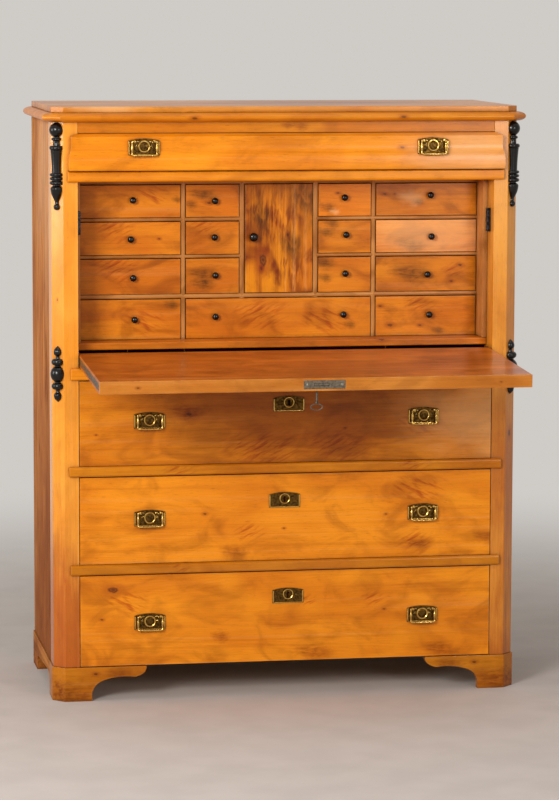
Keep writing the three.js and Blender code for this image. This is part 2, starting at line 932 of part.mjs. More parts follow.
// The middle of the gallery: a shelf over the wide drawer, the cupboard's uprights, a top
// board, and two shelves on each side.
function galleryCentre() {
  const half = outerDividerInner - jointGap;
  const depth = [gallerySetback, boardBack];
  const pieces = [lowShelf, galleryTop].map((level) => block([-half, half], depth, level));
  for (const side of [-1, 1]) {
    const upright = [side * cupboardUprightInner, side * cupboardUprightOuter];
    pieces.push(block(upright, depth, [bottomRow.high, upperRailBottom - jointGap]));
    for (const level of [middleShelf, highShelf]) {
      pieces.push(block([side * cupboardUprightInner, side * half], depth, level));
    }
  }
  return join(...pieces);
}

// The cupboard door with its knob. Its origin is its hinge edge at the foot of its face.
function cupboardDoor() {
  const width = 2 * (cupboardUprightInner - cupboardDoorGap);
  const height = cupboardHeight - 2 * cupboardDoorGap;
  const panel = block([-width, 0], [0, cupboardDoorThickness], [0, height]);
  const pull = knob(cupboardKnobRadius);
  const place = [-width + cupboardKnobInset, 0, cupboardKnobUpShare * height];
  return join(panel, pull.translate(place));
}

// The flap, in its own frame: the pivot is the origin and its front edge points to -Y. The
// rear lower edge is rounded about the pivot, so that it clears the rail as it turns.
function flap() {
  const half = flapThickness / 2;
  const outline = [
    [-flapReach, -half],
    [-flapReach, half],
    [half, half],
  ];
  for (let i = 0; i <= flapEdgeFacets; i += 1) {
    const turn = (-Math.PI / 2) * (i / flapEdgeFacets);
    outline.push([half * Math.cos(turn), half * Math.sin(turn)]);
  }
  const panel = prismX(outline, -flapHalf, flapHalf);
  const recesses = [-1, 1].map((side) =>
    block(
      [side * (strapInner - fitGap), side * (flapHalf + cutOverrun)],
      [-flapReach + strapEndMargin - fitGap, half + cutOverrun],
      [-strapWidth / 2 - fitGap, strapWidth / 2 + fitGap],
    ),
  );
  const plateHole = block(
    [lockOffset - selvedgeWidth / 2 - fitGap, lockOffset + selvedgeWidth / 2 + fitGap],
    [-flapReach - cutOverrun, -flapReach + selvedgeThickness + fitGap],
    [-selvedgeHeight / 2 - fitGap, selvedgeHeight / 2 + fitGap],
  );
  const caseHole = block(
    [lockOffset - lockCaseWidth / 2 - fitGap, lockOffset + lockCaseWidth / 2 + fitGap],
    [-flapReach, -flapReach + lockCaseDepth + fitGap],
    [-lockCaseThickness / 2 - fitGap, lockCaseThickness / 2 + fitGap],
  );
  const keyHole = bar("Z", keyShankRadius + fitGap, half + cutOverrun, studSides, [
    keyOffset,
    -flapReach + keyBackset,
    -half - cutOverrun,
  ]);
  return panel.subtract(join(...recesses, plateHole, caseHole, keyHole));
}

// An iron strap let into the flap's end, in the flap's frame: it carries the stud that turns
// in the post, and its arm runs back under the pin in the post.
function strap(side) {
  const half = strapWidth / 2;
  const front = -flapReach + strapEndMargin;
  const outline = [
    [front, -half],
    [armReach - armChamfer, -half],
    [armReach, armChamfer - half],
    [armReach, half - armChamfer],
    [armReach - armChamfer, half],
    [front, half],
  ];
  const edges = [side * strapInner, side * flapHalf].sort((a, b) => a - b);
  const length = strapThickness + flapSideGap + studReach;
  const start = side > 0 ? strapInner : -strapInner - length;
  const stud = bar("X", studRadius, length, studSides, [start, 0, 0]);
  return join(prismX(outline, ...edges), stud);
}

// The lock in the flap's front edge: its face plate, and the case with the bolt's channel.
function lockCase() {
  const face = block(
    [lockOffset - selvedgeWidth / 2, lockOffset + selvedgeWidth / 2],
    [-flapReach, -flapReach + selvedgeThickness],
    [-selvedgeHeight / 2, selvedgeHeight / 2],
  );
  const body = block(
    [lockOffset - lockCaseWidth / 2, lockOffset + lockCaseWidth / 2],
    [-flapReach, -flapReach + lockCaseDepth],
    [-lockCaseThickness / 2, lockCaseThickness / 2],
  );
  const channel = block(
    [boltOffset - boltWidth / 2 - fitGap, boltOffset + boltWidth / 2 + fitGap],
    [-flapReach - cutOverrun, -flapReach + boltLength + fitGap],
    [-boltThickness / 2 - fitGap, boltThickness / 2 + fitGap],
  );
  const keyHole = bar("Z", keyShankRadius + fitGap, lockCaseThickness, studSides, [
    keyOffset,
    -flapReach + keyBackset,
    -lockCaseThickness / 2 - keyEntry,
  ]);
  return join(face, body).subtract(join(channel, keyHole));
}

// The lock's bolt, flush with the face plate at rest.
function lockBolt() {
  return block(
    [boltOffset - boltWidth / 2, boltOffset + boltWidth / 2],
    [-flapReach, -flapReach + boltLength],
    [-boltThickness / 2, boltThickness / 2],
  );
}

// The key, hanging out of the flap's outer face: shank, collar and oval bow.
function key() {
  const half = flapThickness / 2;
  const length = keyShankLength + half - keyTipDepth;
  const shankFoot = -half - keyShankLength;
  const shank = bar("Z", keyShankRadius, length, bailSides, [0, 0, shankFoot]);
  const ringRadius = (keyBowWidth - keyBowThickness) / 2;
  const ring = new THREE.TorusGeometry(ringRadius, keyBowThickness / 2, keyBowSides, keyBowSteps);
  const squash = (keyBowHeight - keyBowThickness) / (keyBowWidth - keyBowThickness);
  ring.scale(1, squash, 1).rotateX(Math.PI / 2);
  ring.translate(0, 0, shankFoot - (keyBowHeight - keyBowThickness) / 2);
  const whole = join(shank, solidOf(ring));
  return whole.translate([keyOffset, -flapReach + keyBackset, 0]);
}

// A half-round turning for a canted face, cut flat at the back, with its axis at X = Y = 0.
function splitTurning(shares, length, side) {
  const whole = turnedZ(profileOf(shares, turningRadius, length), turningSides);
  const reach = 2 * turningRadius;
  const behind = block([-reach, reach], [-fitGap, reach], [-cutOverrun, length + cutOverrun]);
  return whole.subtract(behind).rotate([0, 0, side * 45]);
}

const sides = [
  { word: "left", side: -1 },
  { word: "right", side: 1 },
];

// The large drawers: between which heights each lies, what its box runs on, and where on its
// front the pulls and the escutcheon sit.
const largeDrawers = [
  {
    name: "drawer_1",
    opening: [middleRailTop, writingRailBottom],
    runner: middleRailTop,
    pullShare: 0.515,
    lockShare: 0.715,
    lockAside: 3,
  },
  {
    name: "drawer_2",
    opening: [lowerRailTop, middleRailBottom],
    runner: lowerRailTop,
    pullShare: 0.51,
    lockShare: 0.716,
    lockAside: -6,
  },
  {
    name: "drawer_3",
    opening: [baseHeight, lowerRailBottom],
    runner: baseHeight + bottomBoardThickness,
    pullShare: 0.471,
    lockShare: 0.745,
    lockAside: 2,
  },
];

// The gallery's columns of drawers from the top down, with each knob's place in shares of its
// drawer's width and height.
const galleryColumns = [
  {
    name: "left_drawer",
    span: [-galleryHalf, -outerDividerOuter],
    knobPlaceShares: [[0.535, 0.54], [0.513, 0.48], [0.535, 0.47], [0.548, 0.5]],
  },
  {
    name: "inner_left_drawer",
    span: [-outerDividerInner, -cupboardUprightOuter],
    knobPlaceShares: [[0.538, 0.5], [0.53, 0.52], [0.546, 0.52]],
  },
  {
    name: "inner_right_drawer",
    span: [cupboardUprightOuter, outerDividerInner],
    knobPlaceShares: [[0.487, 0.577], [0.517, 0.563], [0.504, 0.532]],
  },
  {
    name: "right_drawer",
    span: [outerDividerOuter, galleryHalf],
    knobPlaceShares: [[0.533, 0.634], [0.544, 0.486], [0.507, 0.48], [0.528, 0.534]],
  },
];
const wideKnobPlaceShares = [[0.156, 0.551], [0.849, 0.563]];

const root = new THREE.Group();
root.name = "fall_front_secretary";

// Adds a solid to a group as a named mesh at a place.
function put(group, name, solid, material, [x, y, z] = [0, 0, 0]) {
  const mesh = meshOf(name, solid, material);
  mesh.position.set(x, y, z);
  group.add(mesh);
}

// The fixed pieces of the case.
function addCase() {
  for (const { word, side } of sides) {
    put(root, `side_${word}`, sidePanel(side), pineOrange);
    put(root, `post_${word}`, post(side), pineYellow);
    put(root, `foot_${word}`, frontFoot(side), pineOrange);
    put(root, `side_plinth_${word}`, sidePlinth(side), pineOrange);
    const cantMiddle = [side * (caseHalf - cant / 2), cant / 2];
    const upper = splitTurning(upperTurningShares, upperTurningLength, side);
    put(root, `upper_turning_${word}`, upper, ebonised, [...cantMiddle, upperTurningFoot]);
    const lower = splitTurning(lowerTurningShares, lowerTurningLength, side);
    put(root, `lower_turning_${word}`, lower, ebonised, [...cantMiddle, lowerTurningFoot]);
  }
  put(root, "back_panel", backPanel(), pineBare);
  put(root, "top_board", prismZ(casePlan(0), caseTop, caseTop + topThickness), pineOrange);
  put(root, "cornice_moulding", corniceMoulding(), pineOrange);
  put(root, "frieze_rail", friezeRail(), pineOrange);
  put(root, "upper_rail", upperRail(), pineOrange);
  put(root, "writing_rail", writingRail(), pineOrange);
  put(root, "rail_2", drawerRail(middleRailBottom, railThickness, middleNoseOverlap), pineOrange);
  put(root, "rail_3", drawerRail(lowerRailBottom, railThickness, lowerNoseOverlap), pineOrange);
  put(root, "bottom_board", bottomBoard(), pineBare);
}

// The writing compartment's deck and the gallery's fixed pieces.
function addGallery() {
  put(root, "deck", caseBoard(deckSetback, deckUnderside, deckTop), pineBrown);
  for (const { word, side } of sides) {
    put(root, `gallery_bay_${word}`, outerBay(side), pineOrange);
  }
  put(root, "gallery_centre", galleryCentre(), pineOrange);
}

// The two bails of a drawer, on plates whose middles are at a height and a face.
function addBails(name, spacing, face, middle) {
  for (const { word, side } of sides) {
    const place = [(side * spacing) / 2, face - eyeReach, middle + eyeRaise];
    put(root, `${name}_bail_${word}`, bail(), brass, place);
  }
}

// The large drawers and the moulded top drawer, with their bails.
function addDrawers() {
  for (const { name, opening, runner, ...places } of largeDrawers) {
    const bottom = opening[0] + drawerBottomGap;
    const top = opening[1] - drawerTopGap;
    const solid = largeDrawer({ bottom, top, boxBottom: runner + runningGap, ...places });
    put(root, name, solid, pineOrange);
    addBails(name, pullSpacing, 0, bottom + places.pullShare * (top - bottom));
  }
  const bottom = upperRailTop + drawerBottomGap;
  const top = friezeBottom - topDrawerGap;
  const boxBottom = upperRailTop + runningGap;
  put(root, "top_drawer", topDrawer({ bottom, top, boxBottom }), pineOrange);
  addBails("top_drawer", topPullSpacing, -topPullSeat, (bottom + top) / 2 + topPullRaise);
}

// A gallery drawer in its cell.
function addSmallDrawer(name, [left, right], { low, high }, knobPlaceShares) {
  const width = right - left - 2 * smallDrawerSideGap;
  const height = high - low - runningGap - smallDrawerTopGap;
  const place = [(left + right) / 2, gallerySetback, low + runningGap];
  put(root, name, smallDrawer(width, height, knobPlaceShares), pineRed, place);
}

// The gallery's drawers and its cupboard door.
function addGalleryDrawers() {
  const rowsDown = [...galleryRows].reverse();
  for (const { name, span, knobPlaceShares } of galleryColumns) {
    knobPlaceShares.forEach((place, row) => {
      addSmallDrawer(`${name}_${row + 1}`, span, rowsDown[row], [place]);
    });
  }
  const wide = [-outerDividerInner, outerDividerInner];
  addSmallDrawer("wide_drawer", wide, bottomRow, wideKnobPlaceShares);
  const hinge = cupboardUprightInner - cupboardDoorGap;
  const place = [hinge, gallerySetback, cupboardFoot + cupboardDoorGap];
  put(root, "gallery_door", cupboardDoor(), pineRed, place);
}

// The flap with its straps, lock and key, lowered and drooping a little.
function addFlap() {
  const fall = new THREE.Group();
  fall.name = "fall";
  put(fall, "flap", flap(), pineOrange);
  for (const { word, side } of sides) {
    put(fall, `flap_strap_${word}`, strap(side), iron);
  }
  put(fall, "lock_case", lockCase(), brass);
  put(fall, "lock_bolt", lockBolt(), iron);
  put(fall, "key", key(), iron);
  fall.rotation.x = flapDroop;
  fall.position.set(0, pivotY, pivotZ);
  root.add(fall);
}

addCase();
addGallery();
addDrawers();
addGalleryDrawers();
addFlap();

root.updateMatrixWorld(true);
const bounds = new THREE.Box3().setFromObject(root);
const middle = bounds.getCenter(new THREE.Vector3());
root.position.set(-middle.x, -middle.y, -bounds.min.z);

export default root;
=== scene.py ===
"""A pine fall-front secretary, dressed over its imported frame.

Metres, +X to the right, +Y to the back, +Z up, in the frame's own coordinates. The frame gives the
places and the bodies. The classes below build each sub-assembly's visible pieces round it, with the
edges, turnings, brasses and finishes that the frame's plain solids lack.
"""

import logging
import math
import random
import sys
from dataclasses import dataclass
from enum import Enum
from typing import Callable, ClassVar, Iterable, Sequence

import bmesh
import bpy
from mathutils import Matrix, Vector

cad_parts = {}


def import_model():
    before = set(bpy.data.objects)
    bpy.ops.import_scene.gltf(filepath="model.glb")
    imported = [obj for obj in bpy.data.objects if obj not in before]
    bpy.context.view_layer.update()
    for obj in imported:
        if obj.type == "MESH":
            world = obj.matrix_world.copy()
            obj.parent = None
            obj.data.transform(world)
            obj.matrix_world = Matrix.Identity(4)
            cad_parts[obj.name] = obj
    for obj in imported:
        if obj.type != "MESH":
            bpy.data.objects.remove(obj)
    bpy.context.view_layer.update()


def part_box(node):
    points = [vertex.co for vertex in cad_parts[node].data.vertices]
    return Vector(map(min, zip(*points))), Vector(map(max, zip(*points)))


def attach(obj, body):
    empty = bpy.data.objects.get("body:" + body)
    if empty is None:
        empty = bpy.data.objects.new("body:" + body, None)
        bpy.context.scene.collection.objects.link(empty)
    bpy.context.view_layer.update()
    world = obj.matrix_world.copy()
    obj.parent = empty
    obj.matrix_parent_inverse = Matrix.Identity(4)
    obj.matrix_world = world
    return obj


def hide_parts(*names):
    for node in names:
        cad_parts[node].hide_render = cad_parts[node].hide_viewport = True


MM = 0.001
SHARP = math.radians(32)
WELD = 1e-7
NOWHERE = (0.0, 0.0, -9.0, 0.001)
FRONTWARD = Matrix.Rotation(math.radians(90), 4, "X")

Point = Sequence[float]
Pair = tuple[float, float]
Pairs = tuple[Pair, ...]
Triple = tuple[float, float, float]
Outline = list[Pair]
Mark = tuple[float, float, float, float]
Spots = tuple[Triple, ...]
Socket = bpy.types.NodeSocket


class Axis(Enum):
    """An axis of the frame, along which a board, a bar or its fibres run."""

    X = 0
    Y = 1
    Z = 2

    @property
    def unit(self) -> Vector:
        """The axis as a unit vector."""
        return Vector([float(i == self.value) for i in range(3)])

    def point(self, along: float, a: float, b: float) -> Vector:
        """The point at a place along this axis and two places across it, in the axes' order."""
        place = [a, b]
        place.insert(self.value, along)
        return Vector(place)


class Side(Enum):
    """The left or the right half of the piece, seen from the front."""

    LEFT = -1
    RIGHT = 1

    @property
    def word(self) -> str:
        """The side as it stands in the names of nodes and pieces."""
        return self.name.lower()

    @property
    def outward(self) -> Matrix:
        """The turn that takes Z from the middle towards this side."""
        return Matrix.Rotation(math.radians(90 * self.value), 4, "Y")

    @property
    def inward(self) -> Matrix:
        """The turn that takes Z from this side towards the middle."""
        return Matrix.Rotation(math.radians(-90 * self.value), 4, "Y")

    def between(self, near: float, far: float) -> list[float]:
        """Two distances from the middle as X places on this side, the lower one first."""
        return sorted((self.value * near, self.value * far))


def colour(code: str) -> tuple[float, float, float, float]:
    """Turns a colour written in hexadecimal sRGB into linear light.

    Args:
        code: Six hexadecimal digits.

    Returns:
        Red, green, blue and an alpha of one.
    """
    shares = [int(code[i : i + 2], 16) / 255 for i in (0, 2, 4)]
    lit = [c / 12.92 if c <= 0.04045 else ((c + 0.055) / 1.055) ** 2.4 for c in shares]
    return (lit[0], lit[1], lit[2], 1.0)


def arc(centre: Point, radii: Point, start: float, end: float, steps: int) -> Outline:
    """Points of an elliptical arc.

    Args:
        centre: The middle of the ellipse.
        radii: Its two half widths.
        start: The first angle, in degrees.
        end: The last angle, in degrees.
        steps: How many chords the arc has.

    Returns:
        The points from start to end.
    """
    turns = [math.radians(start + (end - start) * i / steps) for i in range(steps + 1)]
    return [(centre[0] + radii[0] * math.cos(t), centre[1] + radii[1] * math.sin(t)) for t in turns]


def flowing(points: Sequence[Point], steps: int) -> list[tuple[float, ...]]:
    """Draws a smooth curve through points.

    Args:
        points: The points that the curve passes through.
        steps: How many chords lie between two of them.

    Returns:
        The curve's points, ends included.
    """
    padded = [points[0], *points, points[-1]]
    curve = []
    for a, b, c, d in zip(padded, padded[1:], padded[2:], padded[3:]):
        for step in range(steps):
            t = step / steps
            weights = (
                -0.5 * t + t**2 - 0.5 * t**3, 1 - 2.5 * t**2 + 1.5 * t**3, 0.5 * t + 2 * t**2 - 1.5 * t**3,
                -0.5 * t**2 + 0.5 * t**3
            )
            curve.append(tuple(sum(w * p[i] for w, p in zip(weights, (a, b, c, d))) for i in range(len(a))))
    return [*curve, tuple(points[-1])]


class Solid:
    """One closed solid, with the way in which its timber grew."""

    def __init__(self) -> None:
        """Starts an empty solid whose fibres run along X."""
        self.mesh = bmesh.new()
        self.grain = Axis.X
        self.heart = Vector()

    @classmethod
    def skin(cls, rings: Sequence[Sequence[Point]], closed: bool = False) -> "Solid":
        """Lays a skin over rings of points.

        Args:
            rings: Closed rings with as many points each. A ring may shrink to one point.
            closed: Whether the last ring joins the first, instead of both being capped.

        Returns:
            The solid inside the skin.
        """
        made = cls()
        loops = [[made.mesh.verts.new(p) for p in ring] for ring in rings]
        for near, far in zip(loops, [*loops[1:], loops[0]] if closed else loops[1:]):
            for i, corner in enumerate(near):
                j = (i + 1) % len(near)
                made.mesh.faces.new((corner, near[j], far[j], far[i]))
        if not closed:
            made.mesh.faces.new(loops[0])
            made.mesh.faces.new(loops[-1])
        return made.closed_up()

    @classmethod
    def prism(cls, outline: Outline, axis: Axis, start: float, end: float) -> "Solid":
        """Draws an outline out along an axis."""
        return cls.skin([[axis.point(at, a, b) for a, b in outline] for at in (start, end)])

    @classmethod
    def board(cls, low: Point, high: Point, grain: Axis = Axis.X, soft: float = 0.8 * MM) -> "Solid":
        """A sawn board with eased edges.

        Args:
            low: Its lowest corner.
            high: Its highest corner.
            grain: The way that its fibres run.
            soft: How far its edges are eased.

        Returns:
            The board.
        """
        outline = [(low[0], low[1]), (high[0], low[1]), (high[0], high[1]), (low[0], high[1])]
        made = cls.prism(outline, Axis.Z, low[2], high[2])
        return (made.softened(soft) if soft else made).grown(grain)

    @classmethod
    def turned(cls, profile: Outline, sides: int = 28, half: bool = False) -> "Solid":
        """Turns a profile of radii and heights about Z.

        Args:
            profile: The radius at each height, from the foot up.
            sides: How many chords go all round.
            half: Whether only the half towards -Y is made, flat behind.

        Returns:
            The turning.
        """
        first, sweep = (math.pi, math.pi) if half else (0.0, 2 * math.pi)
        turns = [first + sweep * i / sides for i in range(sides + 1 if half else sides)]
        rings = [[(r * math.cos(t), r * math.sin(t), z) for t in turns] for r, z in profile]
        return cls.skin(rings)

    @classmethod
    def tube(
        cls, path: Sequence[Point], radii: Sequence[float], sides: int = 12, closed: bool = False
    ) -> "Solid":
        """Draws a round bar along a path.

        Args:
            path: The points of its middle line.
            radii: The bar's radius at each point.
            sides: How many sides it has.
            closed: Whether its end joins its start.

        Returns:
            The bar.
        """
        middle = [Vector(p) for p in path]
        count = len(middle)
        rings = []
        across = None
        for i, (point, radius) in enumerate(zip(middle, radii)):
            before = middle[(i - 1) % count] if closed or i else point
            after = middle[(i + 1) % count] if closed or i + 1 < count else point
            ahead = (after - before).normalized()
            guide = across if across is not None else (
                Vector((0.3, 0.9, 0.2)) if abs(ahead.y) < 0.9 else Vector((1, 0, 0))
            )
            across = (guide - ahead * guide.dot(ahead)).normalized()
            beside = ahead.cross(across)
            turns = [2 * math.pi * k / sides for k in range(sides)]
            rings.append([point + radius * (across * math.cos(t) + beside * math.sin(t)) for t in turns])
        return cls.skin(rings, closed)

    def closed_up(self) -> "Solid":
        """Welds doubled points and turns all faces outwards."""
        bmesh.ops.remove_doubles(self.mesh, verts=self.mesh.verts, dist=WELD)
        bmesh.ops.recalc_face_normals(self.mesh, faces=self.mesh.faces)
        return self

    def box(self) -> tuple[Vector, Vector]:
        """The solid's lowest and highest corner."""
        places = [v.co for v in self.mesh.verts]
        return tuple(Vector([pick(p[i] for p in places) for i in range(3)]) for pick in (min, max))

    def softened(
        self, width: float, steps: int = 2, where: Callable[[Vector], bool] | None = None
    ) -> "Solid":
        """Rounds the solid's sharp edges over.

        Args:
            width: How far from the edge the rounding starts.
            steps: How many faces it has.
            where: Tells by an edge's middle whether it is rounded. All are if it is left out.

        Returns:
            The same solid.
        """
        edges = [e for e in self.mesh.edges if len(e.link_faces) == 2 and e.calc_face_angle(0) > SHARP]
        if where is not None:
            edges = [e for e in edges if where((e.verts[0].co + e.verts[1].co) / 2)]
        bmesh.ops.bevel(
            self.mesh, geom=edges, offset=width, offset_type="OFFSET", segments=steps, profile=0.5,
            affect="EDGES", clamp_overlap=True
        )
        return self

    def less(self, *cutters: "Solid") -> "Solid":
        """Cuts other solids out of this one."""
        made = [
            bpy.data.objects.new("shaping", bpy.data.meshes.new("shaping")) for _ in range(len(cutters) + 1)
        ]
        for thing, solid in zip(made, (self, *cutters)):
            solid.mesh.to_mesh(thing.data)
            bpy.context.scene.collection.objects.link(thing)
        base = made[0]
        for cutter in made[1:]:
            cut = base.modifiers.new("cut", "BOOLEAN")
            cut.operation, cut.solver, cut.object = "DIFFERENCE", "EXACT", cutter
        shaped = bpy.data.meshes.new_from_object(base.evaluated_get(bpy.context.evaluated_depsgraph_get()))
        self.mesh.clear()
        self.mesh.from_mesh(shaped)
        bpy.data.meshes.remove(shaped)
        for thing in made:
            bpy.data.meshes.remove(thing.data)
        return self

    def moved(self, place: Matrix) -> "Solid":
        """A copy of the solid at another place, its timber moved with it."""
        copy = Solid()
        copy.mesh = self.mesh.copy()
        copy.mesh.transform(place)
        if place.determinant() < 0:
            bmesh.ops.reverse_faces(copy.mesh, faces=copy.mesh.faces)
        copy.grain, copy.heart = self.grain, place @ self.heart
        return copy

    def grown(self, grain: Axis, seed: int = 0) -> "Solid":
        """Says how the solid was cut from its tree.

        Args:
            grain: The way that its fibres run.
            seed: Another number gives another cut. The solid's own place counts too.

        Returns:
            The same solid, with its grain, and the tree's heart beside or inside it.
        """
        low, high = self.box()
        size = high - low
        thin, wide = sorted((axis for axis in Axis if axis is not grain), key=lambda a: size[a.value])
        heart = (low + high) / 2
        draw = random.Random(f"{seed} {[round(v, 4) for v in (*low, *high)]}")
        heart[thin.value] += draw.choice((-1, 1)) * draw.uniform(0.03, 0.1)
        heart[wide.value] += draw.uniform(-0.4, 0.4) * size[wide.value]
        self.grain, self.heart = grain, heart
        return self


def put_at(x: float = 0.0, y: float = 0.0, z: float = 0.0) -> Matrix:
    """The move that takes the origin to a place."""
    return Matrix.Translation((x, y, z))


class Graph:
    """Short calls for the shader nodes that the finishes are made of."""

    def __init__(self, tree: bpy.types.NodeTree) -> None:
        """Draws in an existing node tree."""
        self.tree = tree

    def node(self, kind: str, **settings: object) -> bpy.types.Node:
        """Adds a shader node of a kind, with its settings."""
        made = self.tree.nodes.new("ShaderNode" + kind)
        for name, value in settings.items():
            setattr(made, name, value)
        return made

    def feed(self, socket: Socket, value: object) -> None:
        """Links a socket to an input, or sets the input to a value."""
        if isinstance(value, bpy.types.NodeSocket):
            self.tree.links.new(value, socket)
        else:
            socket.default_value = value

    def math(self, operation: str, *values: object, clamp: bool = False) -> Socket:
        """One step of arithmetic."""
        made = self.node("Math", operation=operation, use_clamp=clamp)
        for socket, value in zip(made.inputs, values):
            self.feed(socket, value)
        return made.outputs[0]

    def plus(self, first: object, second: object) -> Socket:
        """The sum of two numbers."""
        return self.math("ADD", first, second)

    def times(self, first: object, second: object, clamp: bool = False) -> Socket:
        """The product of two numbers, held between 0 and 1 if it is clamped."""
        return self.math("MULTIPLY", first, second, clamp=clamp)

    def linear(self, value: object, factor: object, offset: object) -> Socket:
        """A number times a factor, plus an offset."""
        return self.math("MULTIPLY_ADD", value, factor, offset)

    def vector(self, operation: str, *values: object, output: str = "Vector") -> Socket:
        """One step of vector arithmetic."""
        made = self.node("VectorMath", operation=operation)
        for socket, value in zip(made.inputs, values):
            self.feed(socket, value)
        return made.outputs[output]

    def minus(self, first: object, second: object) -> Socket:
        """The vector from the second place to the first."""
        return self.vector("SUBTRACT", first, second)

    def dot(self, first: object, second: object) -> Socket:
        """The dot product of two vectors."""
        return self.vector("DOT_PRODUCT", first, second, output="Value")

    def length(self, value: object) -> Socket:
        """How long a vector is."""
        return self.vector("LENGTH", value, output="Value")

    def scaled(self, value: object, factor: object) -> Socket:
        """A vector or a colour times a number."""
        made = self.node("VectorMath", operation="SCALE")
        self.feed(made.inputs[0], value)
        self.feed(made.inputs["Scale"], factor)
        return made.outputs["Vector"]

    def shortened(self, value: Socket, way: Socket, share: float) -> Socket:
        """A vector whose run along a unit vector is shortened by a share, so that noise over it is long.

        Args:
            value: The vector.
            way: The unit vector along which it is shortened.
            share: How much of that run is taken off.

        Returns:
            The shortened vector.
        """
        return self.minus(value, self.scaled(way, self.times(self.dot(value, way), share)))

    def noise(self, place: Socket, scale: float, detail: float = 2.0, distortion: float = 0.0) -> Socket:
        """Soft noise between 0 and 1 over a place."""
        made = self.node("TexNoise")
        self.feed(made.inputs["Vector"], place)
        for name, value in (("Scale", scale), ("Detail", detail), ("Distortion", distortion)):
            self.feed(made.inputs[name], value)
        return made.outputs[0]

    def span(
        self, value: object, low: float, high: float, to_low: float = 0.0, to_high: float = 1.0
    ) -> Socket:
        """Eases a value from one range into another, and holds it there outside."""
        made = self.node("MapRange", interpolation_type="SMOOTHSTEP")
        for socket, number in zip(made.inputs, (value, low, high, to_low, to_high)):
            self.feed(socket, number)
        return made.outputs[0]

    def mix(self, share: object, first: object, second: object, blend: str = "MIX") -> Socket:
        """Blends two colours by a share."""
        made = self.node("Mix", data_type="RGBA", blend_type=blend)
        for index, value in ((0, share), (6, first), (7, second)):
            self.feed(made.inputs[index], value)
        return made.outputs[2]

    def bump(self, shader: bpy.types.Node, height: Socket, strength: float, distance: float) -> None:
        """Raises a shader's surface by a height."""
        made = self.node("Bump")
        made.inputs["Strength"].default_value = strength
        made.inputs["Distance"].default_value = distance
        self.feed(made.inputs["Height"], height)
        self.feed(shader.inputs["Normal"], made.outputs["Normal"])

    def surface(self, end: bpy.types.Node, share: Socket, first: Socket, second: Socket) -> None:
        """Gives an output node two shaders, blended by a share."""
        made = self.node("MixShader")
        for socket, value in zip(made.inputs, (share, first, second)):
            self.feed(socket, value)
        self.feed(end.inputs["Surface"], made.outputs[0])

    def attribute(self, name: str, own: bool = False) -> bpy.types.Node:
        """Reads an attribute of the mesh, or a property of the object itself."""
        return self.node("Attribute", attribute_name=name, attribute_type="OBJECT" if own else "GEOMETRY")


class Effect:
    """A shader effect kept as one node group, which each material places with its own values."""

    inputs: ClassVar[dict[str, object]] = {}
    outputs: ClassVar[tuple[str, ...]] = ()

    @classmethod
    def draw(cls, graph: Graph, given: dict[str, Socket]) -> Iterable[Socket]:
        """Draws the effect's own nodes and returns its outputs in order."""
        raise NotImplementedError

    @classmethod
    def group(cls) -> bpy.types.NodeTree:
        """The effect's node group, built the first time that it is asked for."""
        found = bpy.data.node_groups.get(cls.__name__)
        if found:
            return found
        tree = bpy.data.node_groups.new(cls.__name__, "ShaderNodeTree")
        for name, value in cls.inputs.items():
            kind = "Float" if isinstance(value, float) else "Vector"
            socket = tree.interface.new_socket(name, in_out="INPUT", socket_type="NodeSocket" + kind)
            socket.default_value = value
        for name in cls.outputs:
            tree.interface.new_socket(name, in_out="OUTPUT", socket_type="NodeSocketFloat")
        given = tree.nodes.new("NodeGroupInput")
        result = tree.nodes.new("NodeGroupOutput")
        graph = Graph(tree)
        for socket, value in zip(result.inputs, cls.draw(graph, {s.name: s for s in given.outputs})):
            graph.feed(socket, value)
        return tree

    @classmethod
    def place(cls, graph: Graph, **values: object) -> dict[str, Socket]:
        """Places the effect in a material.

        Args:
            graph: The material's nodes.
            values: What its inputs get, by their names with underscores for spaces.

        Returns:
            Its outputs by name.
        """
        node = graph.node("Group", node_tree=cls.group())
        for name, value in values.items():
            graph.feed(node.inputs[name.replace("_", " ")], value)
        return {socket.name: socket for socket in node.outputs}


